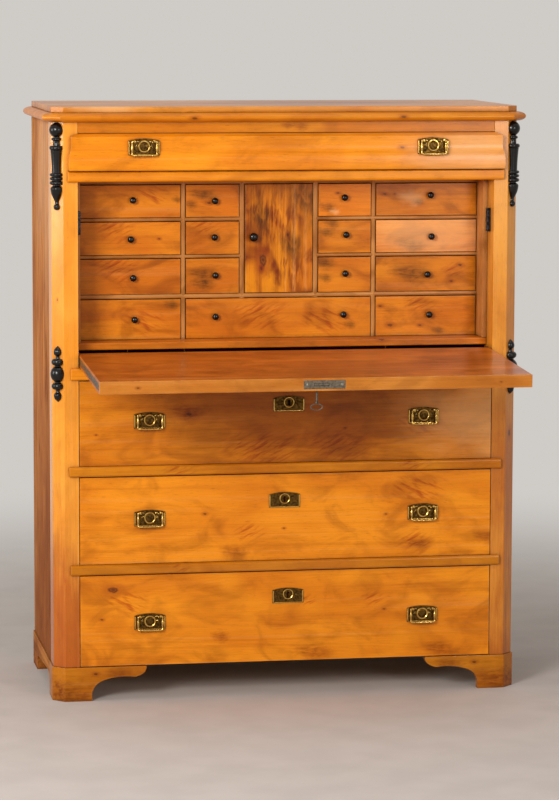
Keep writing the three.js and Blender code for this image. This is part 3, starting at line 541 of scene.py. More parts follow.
class Timber(Effect):
    """The figure of a sawn board: year rings round the tree's heart, fibres, streaks and clouds."""

    inputs = {
        "place": (0.0, 0.0, 0.0), "heart": (0.0, 0.0, 0.0), "grain": (1.0, 0.0, 0.0), "ring spacing": 4.0,
        "wander": 26.0, "bend": 0.0
    }
    outputs = ("rings", "fibre", "streak", "cloud", "pores", "mottle", "board")

    @classmethod
    def draw(cls, graph: Graph, given: dict[str, Socket]) -> Iterable[Socket]:
        """Draws the figure, in millimetres from the heart."""
        heart = graph.scaled(given["heart"], 1 / MM)
        away = graph.minus(graph.scaled(given["place"], 1 / MM), heart)
        along = graph.dot(away, given["grain"])
        across = graph.minus(away, graph.scaled(given["grain"], along))
        shift = graph.scaled(heart, 2.13)

        def drawn_out(share: float) -> Socket:
            """The place with its run along the grain kept to a share, so that noise there is long."""
            run = graph.scaled(given["grain"], graph.times(along, share))
            return graph.vector("ADD", graph.vector("ADD", across, run), shift)

        chance = graph.node("TexWhiteNoise", noise_dimensions="3D")
        graph.feed(chance.inputs["Vector"], given["heart"])
        lean = graph.linear(chance.outputs["Value"], 0.1, -0.05)
        waver = graph.math("SUBTRACT", graph.noise(drawn_out(0.2), 0.011, 2.0), 0.5)
        radius = graph.linear(waver, given["wander"], graph.length(across))
        radius = graph.plus(graph.linear(along, lean, radius), given["bend"])
        ripple = graph.times(graph.noise(drawn_out(0.06), 0.12, 1.0), 0.8)
        phase = graph.plus(graph.math("DIVIDE", radius, given["ring spacing"]), ripple)
        within = graph.math("FRACT", phase)
        late = graph.times(graph.span(within, 0.3, 0.9), graph.span(within, 0.93, 1.0, 1.0, 0.0))
        year = graph.node("TexWhiteNoise", noise_dimensions="1D")
        graph.feed(year.inputs["W"], graph.math("FLOOR", phase))
        rings = graph.times(late, graph.linear(year.outputs["Value"], 0.7, 0.3))
        fibre = graph.noise(drawn_out(0.02), 0.8, 3.0)
        streak = graph.noise(drawn_out(0.01), 0.085, 3.0, 0.4)
        cloud = graph.noise(drawn_out(0.4), 0.011, 2.0, 0.6)
        pores = graph.span(graph.noise(drawn_out(0.045), 1.4, 0.0), 0.72, 0.8)
        mottle = graph.noise(drawn_out(0.55), 0.015, 4.0, 1.2)
        return rings, fibre, streak, cloud, pores, mottle, chance.outputs["Value"]


class Spot(Effect):
    """Something in a board that lies round a middle and has a size."""

    inputs = {"place": (0.0, 0.0, 0.0), "grain": (1.0, 0.0, 0.0), "centre": (0.0, 0.0, 0.0), "size": 0.01}

    @staticmethod
    def away(graph: Graph, given: dict[str, Socket]) -> tuple[Socket, Socket]:
        """The way from the middle, in metres and in the spot's own sizes."""
        away = graph.minus(given["place"], given["centre"])
        return away, graph.scaled(away, graph.math("DIVIDE", 1.0, graph.math("ABSOLUTE", given["size"])))

    @staticmethod
    def ragged(graph: Graph, place: Socket, scale: float, detail: float, depth: float) -> Socket:
        """Noise as deep below zero as above it, which breaks an outline up."""
        return graph.linear(graph.noise(place, scale, detail), depth, -depth / 2)


class Knot(Spot):
    """A knot in a board: its dark core, the halo round it, and how far it bends the rings."""

    outputs = ("core", "halo", "bend")

    @classmethod
    def draw(cls, graph: Graph, given: dict[str, Socket]) -> Iterable[Socket]:
        """Draws the knot, in its own sizes from its middle."""
        _, near = cls.away(graph, given)
        pulled = graph.shortened(near, given["grain"], 0.45)
        reach = graph.plus(graph.length(pulled), cls.ragged(graph, pulled, 1.3, 2.0, 0.9))
        core = graph.span(reach, 0.5, 1.05, 1.0, 0.0)
        eye = graph.linear(graph.math("SINE", graph.times(reach, 13.0)), 0.2, 0.8)
        halo = graph.span(reach, 0.9, 2.9, 1.0, 0.0)
        bend = graph.times(graph.times(halo, halo), given["size"])
        return graph.times(core, eye), halo, graph.times(bend, 1.1 / MM)


class Stain(Spot):
    """A stain soaked into the wood, broken along the grain. A size below zero makes it a pale one. Some
    pieces use a dark one for painted shade and a pale one for a painted sheen.
    """

    outputs = ("dark", "pale")

    @classmethod
    def draw(cls, graph: Graph, given: dict[str, Socket]) -> Iterable[Socket]:
        """Draws the stain, which is speckled if it is small."""
        away, near = cls.away(graph, given)
        pulled = graph.shortened(near, given["grain"], 0.4)
        broad = cls.ragged(graph, pulled, 1.1, 3.0, 1.5)
        thread = cls.ragged(graph, graph.shortened(away, given["grain"], 0.93), 160.0, 2.0, 0.7)
        reach = graph.plus(graph.length(pulled), graph.plus(broad, thread))
        mask = graph.span(reach, 0.1, 1.25, 1.0, 0.0)
        fine = graph.noise(graph.shortened(away, given["grain"], 0.651), 120.0, 3.0, 0.5)
        even = graph.span(graph.math("ABSOLUTE", given["size"]), 0.03, 0.12, 0.0, 0.92)
        specks = graph.math("MAXIMUM", graph.span(fine, 0.36, 0.62, 0.5, 1.0), even)
        dark = graph.times(graph.math("GREATER_THAN", given["size"], 0.0), specks)
        return graph.times(mask, dark), graph.times(mask, graph.math("LESS_THAN", given["size"], 0.0))


class Flame(Spot):
    """A burst of short red strokes round a hidden knot. A size below zero leans it downwards."""

    outputs = ("flame",)

    @classmethod
    def draw(cls, graph: Graph, given: dict[str, Socket]) -> Iterable[Socket]:
        """Draws strokes that lean across the grain, and fades them out from their middle."""
        away, near = cls.away(graph, given)
        rise = graph.scaled((0.0, 0.0, 0.5), graph.math("SIGN", given["size"]))
        ahead = graph.vector("NORMALIZE", graph.vector("ADD", given["grain"], rise))
        strokes = graph.span(graph.noise(graph.shortened(away, ahead, 0.84), 150.0, 3.0, 0.5), 0.44, 0.66)
        pulled = graph.shortened(near, given["grain"], 0.4)
        reach = graph.plus(graph.length(pulled), cls.ragged(graph, pulled, 1.6, 2.0, 1.0))
        return (graph.times(strokes, graph.span(reach, 0.15, 1.0, 1.0, 0.0)),)


class WornEdge(Effect):
    """Where hands and cloths have rubbed an edge through, in broken stretches."""

    inputs = {"place": (0.0, 0.0, 0.0), "reach": 0.002}
    outputs = ("edge",)

    @classmethod
    def draw(cls, graph: Graph, given: dict[str, Socket]) -> Iterable[Socket]:
        """Compares the rounded normal with the true one."""
        rounded = graph.node("Bevel", samples=4)
        graph.feed(rounded.inputs["Radius"], given["reach"])
        agree = graph.dot(rounded.outputs["Normal"], graph.node("NewGeometry").outputs["Normal"])
        broken = graph.span(graph.noise(given["place"], 60.0, 3.0), 0.38, 0.62)
        return (graph.times(graph.span(agree, 0.8, 0.985, 1.0, 0.0), broken),)


class Grime(Effect):
    """Dirt and old polish that gather where surfaces meet, and painted shade there, taken from ambient
    occlusion.
    """

    inputs = {"place": (0.0, 0.0, 0.0), "reach": 0.012}
    outputs = ("grime",)

    @classmethod
    def draw(cls, graph: Graph, given: dict[str, Socket]) -> Iterable[Socket]:
        """Takes what hides the surface from round about."""
        hidden = graph.node("AmbientOcclusion", samples=4)
        graph.feed(hidden.inputs["Distance"], given["reach"])
        dark = graph.span(hidden.outputs["AO"], 0.3, 0.95, 1.0, 0.0)
        patchy = graph.linear(graph.noise(given["place"], 90.0, 2.0), 0.8, 0.4)
        return (graph.times(dark, patchy, clamp=True),)


class Tarnish(Effect):
    """Patches of tarnish, with fine scratches and pits, on old metal or black polish."""

    inputs = {"place": (0.0, 0.0, 0.0), "size": 220.0}
    outputs = ("tarnish", "pits")

    @classmethod
    def draw(cls, graph: Graph, given: dict[str, Socket]) -> Iterable[Socket]:
        """Draws broad patches and fine pits."""
        scaled = graph.scaled(given["place"], given["size"])
        patch = graph.span(graph.noise(scaled, 1.0, 3.0, 0.5), 0.36, 0.66)
        return patch, graph.noise(scaled, 7.0, 2.0)


@dataclass(frozen=True)
class Finish:
    """The look of one kind of surface, and the material slot that it stands for."""

    name: str
    slot: str

    def dress(self, graph: Graph, shader: bpy.types.Node) -> None:
        """Draws the finish's nodes into its material."""
        raise NotImplementedError

    def material(self) -> bpy.types.Material:
        """The finish's material, built the first time that it is asked for."""
        found = bpy.data.materials.get(self.name)
        if found:
            return found
        made = bpy.data.materials.new(self.name)
        made.use_nodes = True
        self.dress(Graph(made.node_tree), made.node_tree.nodes["Principled BSDF"])
        return made


@dataclass(frozen=True)
class PineFinish(Finish):
    """Old pine under amber shellac, with its figure, knots, stains, flames, worn edges and grime, and painted
    shade and sheen from some stains and where surfaces meet.
    """

    pale: str = "ec8f14"
    middle: str = "dc7c0c"
    deep: str = "a04808"
    shade: str = "b4a070"
    flame: str = "bc6a3a"
    # The stain colour also darkens painted shade, and the bleach colour also paints sheen, besides pale
    # patches, light streaks and worn edges.
    stain_and_shade: str = "a88258"
    bleach_and_sheen: str = "f0bd84"
    knot_core: str = "40100a"
    amber: str = "ffb54a"
    # The soot colour darkens grime and painted shade where surfaces meet.
    soot_and_shade: str = "200a04"
    rings: float = 0.14
    streaks: float = 0.22
    mottle: float = 0.5
    variation: float = 0.04
    spacing: float = 4.2
    gloss: float = 0.3
    polish: float = 0.36
    dullness: float = 0.42
    wear: float = 0.45
    dirt: float = 0.8

    def dress(self, graph: Graph, shader: bpy.types.Node) -> None:
        """Draws the pine: figure first, then knots and stains, some of them painted shade and sheen, then
        wear, and grime with painted shade.
        """
        place = graph.node("TexCoord").outputs["Object"]
        grain = graph.attribute("grain").outputs["Vector"]
        heart = graph.attribute("heart").outputs["Vector"]
        knots, stains, flames = (
            [self.mark(graph, effect, place, grain, f"{effect.__name__.lower()}_{i}") for i in (1, 2, 3)]
            for effect in (Knot, Stain, Flame)
        )
        bend = self.total(graph, knots, "bend")
        figure = Timber.place(
            graph, place=place, heart=heart, grain=grain, ring_spacing=self.spacing, bend=bend
        )
        wood = graph.mix(graph.span(figure["cloud"], 0.32, 0.68), colour(self.middle), colour(self.pale))
        wood = graph.mix(graph.span(figure["streak"], 0.5, 0.72, 0.0, self.streaks), wood, colour(self.deep))
        light = graph.span(figure["streak"], 0.28, 0.46, 0.35 * self.streaks, 0.0)
        wood = graph.mix(light, wood, colour(self.bleach_and_sheen))
        wood = graph.mix(graph.times(figure["rings"], self.rings), wood, colour(self.deep))
        shade = graph.span(figure["mottle"], 0.42, 0.74, 0.0, self.mottle)
        wood = graph.mix(shade, wood, colour(self.shade), "MULTIPLY")
        fine = graph.linear(figure["fibre"], 0.3, 0.85)
        board = graph.linear(figure["board"], 2 * self.variation, 1 - self.variation)
        wood = graph.scaled(wood, graph.times(fine, board))
        wood = graph.mix(graph.times(figure["pores"], 0.3), wood, colour(self.knot_core))
        # Dark stain marks paint shade on some pieces, and pale ones paint sheen.
        for marks, output, strength, tint, blend in (
            (flames, "flame", 0.75, self.flame, "MULTIPLY"), (knots, "halo", 0.5, self.deep, "MIX"),
            (knots, "core", 0.9, self.knot_core, "MIX"), (stains, "dark", 0.82, self.stain_and_shade, "MULTIPLY"),
            (stains, "pale", 0.4, self.bleach_and_sheen, "MIX")
        ):
            share = graph.times(self.total(graph, marks, output), strength, clamp=True)
            wood = graph.mix(share, wood, colour(tint), blend)
        edge = WornEdge.place(graph, place=place)["edge"]
        wood = graph.mix(graph.times(edge, self.wear), wood, colour(self.bleach_and_sheen))
        # Grime and painted shade where surfaces meet, from ambient occlusion.
        dirt = Grime.place(graph, place=place)["grime"]
        wood = graph.mix(graph.times(dirt, self.dirt), wood, colour(self.soot_and_shade))
        tone = graph.plus(graph.attribute("tone", own=True).outputs["Fac"], 1.0)
        graph.feed(shader.inputs["Base Color"], graph.scaled(wood, tone))
        dull = graph.linear(figure["fibre"], 0.16, self.dullness - 0.08)
        dull = graph.plus(dull, graph.times(edge, 0.15))
        graph.feed(shader.inputs["Roughness"], graph.linear(dirt, 0.2, dull))
        shader.inputs["Specular IOR Level"].default_value = self.gloss
        shader.inputs["Specular Tint"].default_value = colour(self.amber)
        shader.inputs["Coat Weight"].default_value = self.polish
        shader.inputs["Coat Roughness"].default_value = 0.22
        height = graph.linear(figure["rings"], -0.3, figure["fibre"])
        height = graph.math("SUBTRACT", height, figure["pores"])
        dents = graph.noise(place, 26.0, 2.0)
        graph.bump(shader, graph.linear(dents, 3.0, height), 0.3, 0.3 * MM)

    @staticmethod
    def mark(
        graph: Graph, effect: type[Effect], place: Socket, grain: Socket, name: str
    ) -> dict[str, Socket]:
        """Places a knot, a stain or a flame where the piece's own property says."""
        spot = graph.attribute(name, own=True)
        return effect.place(
            graph, place=place, grain=grain, centre=spot.outputs["Color"], size=spot.outputs["Alpha"]
        )

    @staticmethod
    def total(graph: Graph, marks: list[dict[str, Socket]], output: str) -> Socket:
        """The sum of one output over three marks."""
        first, second, third = (m[output] for m in marks)
        return graph.plus(graph.plus(first, second), third)


@dataclass(frozen=True)
class MetalFinish(Finish):
    """Old metal: bright where it is rubbed, tarnished elsewhere."""

    bright: str = "e2b862"
    dull: str = "86601f"
    dirt: str = "1d1408"
    tarnished: float = 0.6
    roughness: float = 0.22

    def dress(self, graph: Graph, shader: bpy.types.Node) -> None:
        """Draws the metal, with dirt and painted shade in its hollows."""
        place = graph.node("TexCoord").outputs["Object"]
        old = Tarnish.place(graph, place=place)
        metal = graph.mix(graph.times(old["tarnish"], self.tarnished), colour(self.bright), colour(self.dull))
        edge = WornEdge.place(graph, place=place, reach=0.8 * MM)["edge"]
        metal = graph.mix(graph.times(edge, 0.6), metal, colour(self.bright))
        # Dirt and painted shade in the hollows, from ambient occlusion.
        dirt = Grime.place(graph, place=place, reach=3 * MM)["grime"]
        metal = graph.mix(graph.times(dirt, 0.8), metal, colour(self.dirt))
        graph.feed(shader.inputs["Base Color"], metal)
        shader.inputs["Metallic"].default_value = 1.0
        rough = graph.linear(old["pits"], 0.2, self.roughness - 0.1)
        rough = graph.linear(old["tarnish"], 0.15, rough)
        graph.feed(shader.inputs["Roughness"], graph.linear(dirt, 0.3, rough))
        graph.bump(shader, old["pits"], 0.25, 0.1 * MM)


@dataclass(frozen=True)
class BlackFinish(Finish):
    """Turned wood, blackened and polished, with brown showing where it is rubbed."""

    black: str = "050403"
    rubbed: str = "2c1a10"

    def dress(self, graph: Graph, shader: bpy.types.Node) -> None:
        """Draws the black polish."""
        place = graph.node("TexCoord").outputs["Object"]
        old = Tarnish.place(graph, place=place, size=140.0)
        edge = WornEdge.place(graph, place=place, reach=1.2 * MM)["edge"]
        black = graph.mix(graph.times(old["tarnish"], 0.12), colour(self.black), colour(self.rubbed))
        black = graph.mix(graph.times(edge, 0.3), black, colour(self.rubbed))
        graph.feed(shader.inputs["Base Color"], black)
        graph.feed(shader.inputs["Roughness"], graph.linear(old["pits"], 0.1, 0.24))
        shader.inputs["Specular IOR Level"].default_value = 0.2
        shader.inputs["Coat Weight"].default_value = 0.35
        shader.inputs["Coat Roughness"].default_value = 0.12
        graph.bump(shader, old["pits"], 0.12, 0.15 * MM)


CASE_PINE = PineFinish("case pine", "pine_case", mottle=0.4)
TOP_PINE = PineFinish("top pine", "pine_case", pale="d98a2c", middle="c6741c", dullness=0.35)
# The post pine's stain colour tints the painted shade towards the posts' feet.
POST_PINE = PineFinish(
    "post pine", "pine_posts", pale="ee9f34", middle="e08a1e", deep="b8640f", stain_and_shade="c0986c", mottle=0.25,
    streaks=0.3, polish=0.8
)
SIDE_PINE = PineFinish(
    "side pine", "pine_case", pale="c8803c", middle="b0682e", deep="74401a", shade="a8907a",
    bleach_and_sheen="dcae86", streaks=0.55, variation=0.16, dullness=0.6, gloss=0.06, polish=0.0
)
DRAWER_PINE = PineFinish(
    "drawer pine", "pine_drawers", pale="e88c16", middle="d6780e", deep="9c4608", mottle=0.6
)
# The flap's pine is darker and redder than the lipping's: partly its own tone, partly painted shade on the
# flap's top.
FLAP_PINE = PineFinish(
    "flap pine", "pine_flap", pale="c4661c", middle="a44c12", deep="702808", mottle=0.8, streaks=0.4,
    dullness=0.34
)
DECK_PINE = PineFinish("deck pine", "pine_deck", pale="d27618", middle="bc6212", deep="883c0c")
GALLERY_PINE = PineFinish(
    "gallery pine", "pine_gallery", pale="c88848", middle="b07036", deep="7e4418", spacing=3.4, mottle=0.8
)
# Its stain colour darkens both real blue-black stains and the painted shadow at the outer drawers' ends.
SMALL_DRAWER_PINE = PineFinish(
    "small drawer pine", "pine_gallery_drawers", pale="e08418", middle="c86a10", deep="8c3408", stain_and_shade="625a58",
    mottle=0.8
)
DOOR_PINE = PineFinish(
    "door pine", "pine_gallery_drawers", pale="e48c10", middle="cc700c", deep="8a2e06", shade="86401c",
    flame="8a3210", stain_and_shade="5a5458", mottle=1.0, streaks=0.6
)
LIPPING_PINE = PineFinish("lipping pine", "pine_flap", pale="ce8030", middle="ba6a1e", deep="8a4410")
BARE_PINE = PineFinish(
    "bare pine", "pine_bare", pale="c9a06a", middle="b48a58", deep="8b6238", mottle=0.16, amber="ffffff",
    rings=0.4, variation=0.1, polish=0.0, dullness=0.75, wear=0.2
)
BRASS = MetalFinish("rubbed brass", "brass")
DARK_BRASS = MetalFinish("dark brass", "brass", bright="6a4c20", dull="2e1e0c", tarnished=0.9, roughness=0.36)
IRON = MetalFinish("worn iron", "iron", bright="7e7364", dull="52493e", tarnished=0.7, roughness=0.4)
BRIGHT_IRON = MetalFinish(
    "bright iron", "iron", bright="a8a798", dull="76766a", tarnished=0.5, roughness=0.35
)
# The dark iron is partly the stop bars' own dark rust, partly painted shade, as the bars face into shade.
DARK_IRON = MetalFinish("dark iron", "iron", bright="44444a", dull="121010", tarnished=0.9, roughness=0.3)
BLACK = BlackFinish("ebonised wood", "ebonised_wood")

# Each small drawer: its knobs, as shares of its front, its tone, its knots, its stains and its flames. The
# stains at X ±0.55 are painted shadow from the posts over the outer drawers' ends, and the pale stains on the
# first two right drawers are painted sheen.
SMALL_DRAWERS: dict[str, tuple[Pairs, float, Spots, Spots, Spots]] = {
    # Left drawers: the stain at X -0.55 is painted shadow from the left post.
    "left_drawer_1": (
        ((0.535, 0.54),), -0.02, (), ((-0.55, 1.09, 0.09), (-0.227, 1.09, 0.008)), ((-0.28, 1.1, -0.03),)
    ),
    "left_drawer_2": (
        ((0.513, 0.48),), 0.06, ((-0.267, 1.005, 0.0018),), ((-0.55, 1.02, 0.09),), ((-0.365, 1.025, 0.04),)
    ),
    "left_drawer_3": (((0.535, 0.47),), 0.0, (), ((-0.55, 0.92, 0.09),), ((-0.36, 0.94, 0.045),)),
    "left_drawer_4": (
        ((0.548, 0.5),), -0.02, (), ((-0.55, 0.83, 0.09), (-0.239, 0.859, 0.012)), ((-0.3, 0.82, -0.04),)
    ),
    "inner_left_drawer_1": (
        ((0.538, 0.5),), 0.06, ((-0.156, 1.083, 0.003),), ((-0.17, 1.1, 0.018), (-0.197, 1.08, 0.012)), ()
    ),
    "inner_left_drawer_2": (((0.53, 0.52),), 0.0, (), (), ((-0.165, 1.028, 0.03),)),
    "inner_left_drawer_3": (((0.546, 0.52),), -0.04, (), ((-0.17, 0.925, 0.02), (-0.168, 0.902, 0.018)), ()),
    "inner_right_drawer_1": (
        ((0.487, 0.577),), 0.14, ((0.133, 1.103, 0.0024),), ((0.126, 1.061, -0.008), (0.112, 1.07, 0.014)), ()
    ),
    "inner_right_drawer_2": (((0.517, 0.563),), 0.0, (), ((0.106, 1.015, 0.013), (0.12, 1.036, 0.013)), ()),
    "inner_right_drawer_3": (((0.504, 0.532),), 0.0, (), ((0.103, 0.948, 0.018), (0.105, 0.914, 0.012)), ()),
    # Right drawers: the stain at X 0.55 is painted shadow from the right post; the pale stains on the first
    # two are painted sheen.
    "right_drawer_1": (
        ((0.533, 0.634),), -0.14, ((0.239, 1.1, 0.0025), (0.262, 1.1, 0.0015)),
        ((0.315, 1.082, 0.01), (0.55, 1.09, 0.07), (0.3, 1.09, -0.02)), ()
    ),
    "right_drawer_2": (
        ((0.544, 0.486),), 0.1, (), ((0.3, 0.985, 0.022), (0.55, 1.0, 0.07), (0.34, 1.01, -0.12)), ()
    ),
    "right_drawer_3": (
        ((0.507, 0.48),), -0.1, ((0.412, 0.94, 0.003), (0.392, 0.904, 0.0025)),
        ((0.55, 0.92, 0.07), (0.3, 0.92, 0.03)), ((0.401, 0.924, 0.025),)
    ),
    "right_drawer_4": (
        ((0.528, 0.534),), 0.0, ((0.23, 0.85, 0.0025), (0.253, 0.807, 0.004), (0.321, 0.806, 0.0025)),
        ((0.55, 0.83, 0.07), (0.363, 0.794, 0.01)), ((0.321, 0.851, 0.03),)
    ),
    "wide_drawer": (
        ((0.156, 0.551), (0.849, 0.563)), -0.02, (), ((0.162, 0.809, 0.01),),
        ((-0.042, 0.834, 0.05), (0.11, 0.82, -0.05))
    )
}

# Each large drawer: its lock's height, as a share of its front's, and place, its tone and its marks.
LARGE_DRAWERS: dict[str, tuple[float, float, float, Spots, Spots, Spots]] = {
    # The first drawer's tone and its broad dark stain at X 0.05 are partly painted shadow from the flap, over
    # the wood's own red-brown, and its pale stain at X 0.45 is a painted sheen.
    "drawer_1": (
        0.6989, 0.003, -0.1, ((-0.218, 0.63, 0.004), (-0.422, 0.588, 0.0016), (0.129, 0.593, 0.002)),
        ((0.05, 0.6, 0.2), (-0.225, 0.632, 0.025), (0.45, 0.6, -0.12)),
        ((-0.055, 0.545, 0.07), (0.113, 0.55, 0.06), (0.3, 0.6, -0.04))
    ),
    "drawer_2": (
        0.7003, -0.006, 0.0, ((-0.183, 0.409, 0.0025), (0.222, 0.399, 0.0018), (-0.007, 0.373, 0.0018)),
        ((0.45, 0.342, 0.018), (-0.116, 0.322, 0.02), (0.3, 0.33, 0.02)),
        ((0.294, 0.452, -0.05), (-0.083, 0.364, 0.03), (0.29, 0.335, 0.035))
    ),
    "drawer_3": (
        0.7301, 0.002, 0.0, ((-0.386, 0.245, 0.008), (-0.411, 0.18, 0.0022), (0.219, 0.186, 0.0018)),
        ((-0.147, 0.134, 0.014), (0.06, 0.092, 0.03), (0.347, 0.09, 0.025)),
        ((-0.353, 0.215, -0.04), (0.05, 0.209, 0.018), (0.198, 0.207, 0.024))
    )
}


@dataclass(frozen=True)
class Marks:
    """What shows on one piece: how light it is, and where its knots, stains and flames lie. On some pieces
    stains are painted shade and sheen, and the tone holds painted shade.
    """

    tone: float = 0.0
    knots: tuple[Mark, ...] = ()
    stains: tuple[Mark, ...] = ()
    flames: tuple[Mark, ...] = ()

    @classmethod
    def on(cls, y: float, tone: float, *kinds: Spots) -> "Marks":
        """Marks on a face towards the front or the back, each given by its X, its Z and its size."""
        return cls(tone, *(tuple((x, y, z, size) for x, z, size in kind) for kind in kinds))


class Bench:
    """Turns solids into finished pieces, which ride on their bodies."""

    def __init__(self) -> None:
        """Starts with no pieces made."""
        self.log = logging.getLogger("secretary")
        self.made = 0

    def piece(
        self, name: str, body: str, finish: Finish, solids: Sequence[Solid], replaces: Sequence[str] = (),
        marks: Marks = Marks()
    ) -> bpy.types.Object:
        """Makes one piece.

        Args:
            name: Its name.
            body: The body that it rides on.
            finish: How its surface looks.
            solids: What it is joined from.
            replaces: The frame's nodes that it stands for.
            marks: Its tone and its knots, stains and flames, with any painted shade and sheen among them.

        Returns:
            The new object.
        """
        points, faces, hearts, grains = [], [], [], []
        for solid in solids:
            solid.mesh.verts.index_update()
            faces += [[len(points) + v.index for v in f.verts] for f in solid.mesh.faces]
            points += [v.co.copy() for v in solid.mesh.verts]
            hearts += [*solid.heart] * len(solid.mesh.verts)
            grains += [*solid.grain.unit] * len(solid.mesh.verts)
            solid.mesh.free()
        mesh = bpy.data.meshes.new(name)
        mesh.from_pydata(points, [], faces)
        for label, values in (("heart", hearts), ("grain", grains)):
            mesh.attributes.new(label, "FLOAT_VECTOR", "POINT").data.foreach_set("vector", values)
        mesh.shade_smooth()
        mesh.set_sharp_from_angle(angle=SHARP)
        mesh.materials.append(finish.material())
        made = bpy.data.objects.new(name, mesh)
        bpy.context.scene.collection.objects.link(made)
        even = made.modifiers.new("even", "WEIGHTED_NORMAL")
        even.keep_sharp = True
        made["tone"] = marks.tone
        for kind, given in (("knot", marks.knots), ("stain", marks.stains), ("flame", marks.flames)):
            for i in range(3):
                made[f"{kind}_{i + 1}"] = list(given[i]) if i < len(given) else list(NOWHERE)
        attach(made, body)
        if replaces:
            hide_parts(*replaces)
        self.made += 1
        self.log.info("%s, on %s", name, body)
        return made


@dataclass
class CaseLines:
    """The case's main lines, read from the frame."""

    joint: float = 0.25 * MM
    cant: float = 24 * MM
    base_projection: float = 3 * MM

    def __post_init__(self) -> None:
        """Reads the lines off the frame's nodes."""
        low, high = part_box("post_right")
        self.front, self.post_back = low.y, high.y
        self.half = high.x
        self.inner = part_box("frieze_rail")[1].x + self.joint
        self.gallery_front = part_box("gallery_centre")[0].y
        self.board_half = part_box("deck")[1].x
        self.board_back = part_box("deck")[1].y

    def plan(self, offset: float, back: float) -> Outline:
        """The case's outline from above, canted at the front, stood off by an offset."""
        mitre = offset * math.tan(math.pi / 8)
        side, front = self.half + offset, self.half - self.cant + mitre
        face, corner = self.front - offset, self.front + self.cant - mitre
        return [(-side, back), (-side, corner), (-front, face), (front, face), (side, corner), (side, back)]

    def notched(self, front: float, low: float, high: float) -> Solid:
        """A board that fills the case behind a front edge, notched round both posts."""
        narrow, shoulder = self.inner - self.joint, self.post_back + self.joint
        half = [
            (narrow, front), (narrow, shoulder), (self.board_half, shoulder),
            (self.board_half, self.board_back)
        ]
        outline = half + [(-x, y) for x, y in reversed(half)]
        return Solid.prism(outline, Axis.Z, low, high)


@dataclass
class Assembly:
    """A part of the secretary, which knows the case's lines and makes its pieces on the bench."""

    lines: CaseLines
    bench: Bench

    def build(self) -> None:
        """Builds every piece of the part."""
        raise NotImplementedError

    def fixed(
        self, name: str, finish: Finish, solids: Sequence[Solid], replaces: Sequence[str] = (),
        marks: Marks = Marks()
    ) -> None:
        """Makes a piece that stays with the case."""
        self.bench.piece(name, "case", finish, solids, replaces, marks)


@dataclass
class Hardware:
    """Screws, nails and pins, which several sub-assemblies use."""

    head_radius: float = 3.6 * MM
    head_rise: float = 0.9 * MM
    slot_width: float = 0.9 * MM

    def screw(self, turn: float = 20.0) -> Solid:
        """A slotted screw head on the plane Z = 0, facing up.

        Args:
            turn: The slot's angle, in degrees.

        Returns:
            The head.
        """
        dome = arc((0, -0.3 * MM), (self.head_radius, self.head_rise + 0.3 * MM), 0, 90, 6)
        head = Solid.turned([(self.head_radius, -0.6 * MM), *dome], 20)
        reach = 1.2 * self.head_radius
        low = (-reach, -self.slot_width / 2, 0.2 * MM)
        slot = Solid.board(low, (reach, self.slot_width / 2, 4 * MM), soft=0)
        return head.less(slot.moved(Matrix.Rotation(math.radians(turn), 4, "Z")))

    @staticmethod
    def pin(radius: float, length: float) -> Solid:
        """A round pin along Z from the origin, with a domed end."""
        dome = arc((0, length - 0.6 * radius), (radius, 0.6 * radius), 0, 90, 5)
        return Solid.turned([(0, 0), (radius, 0), *dome], 18)


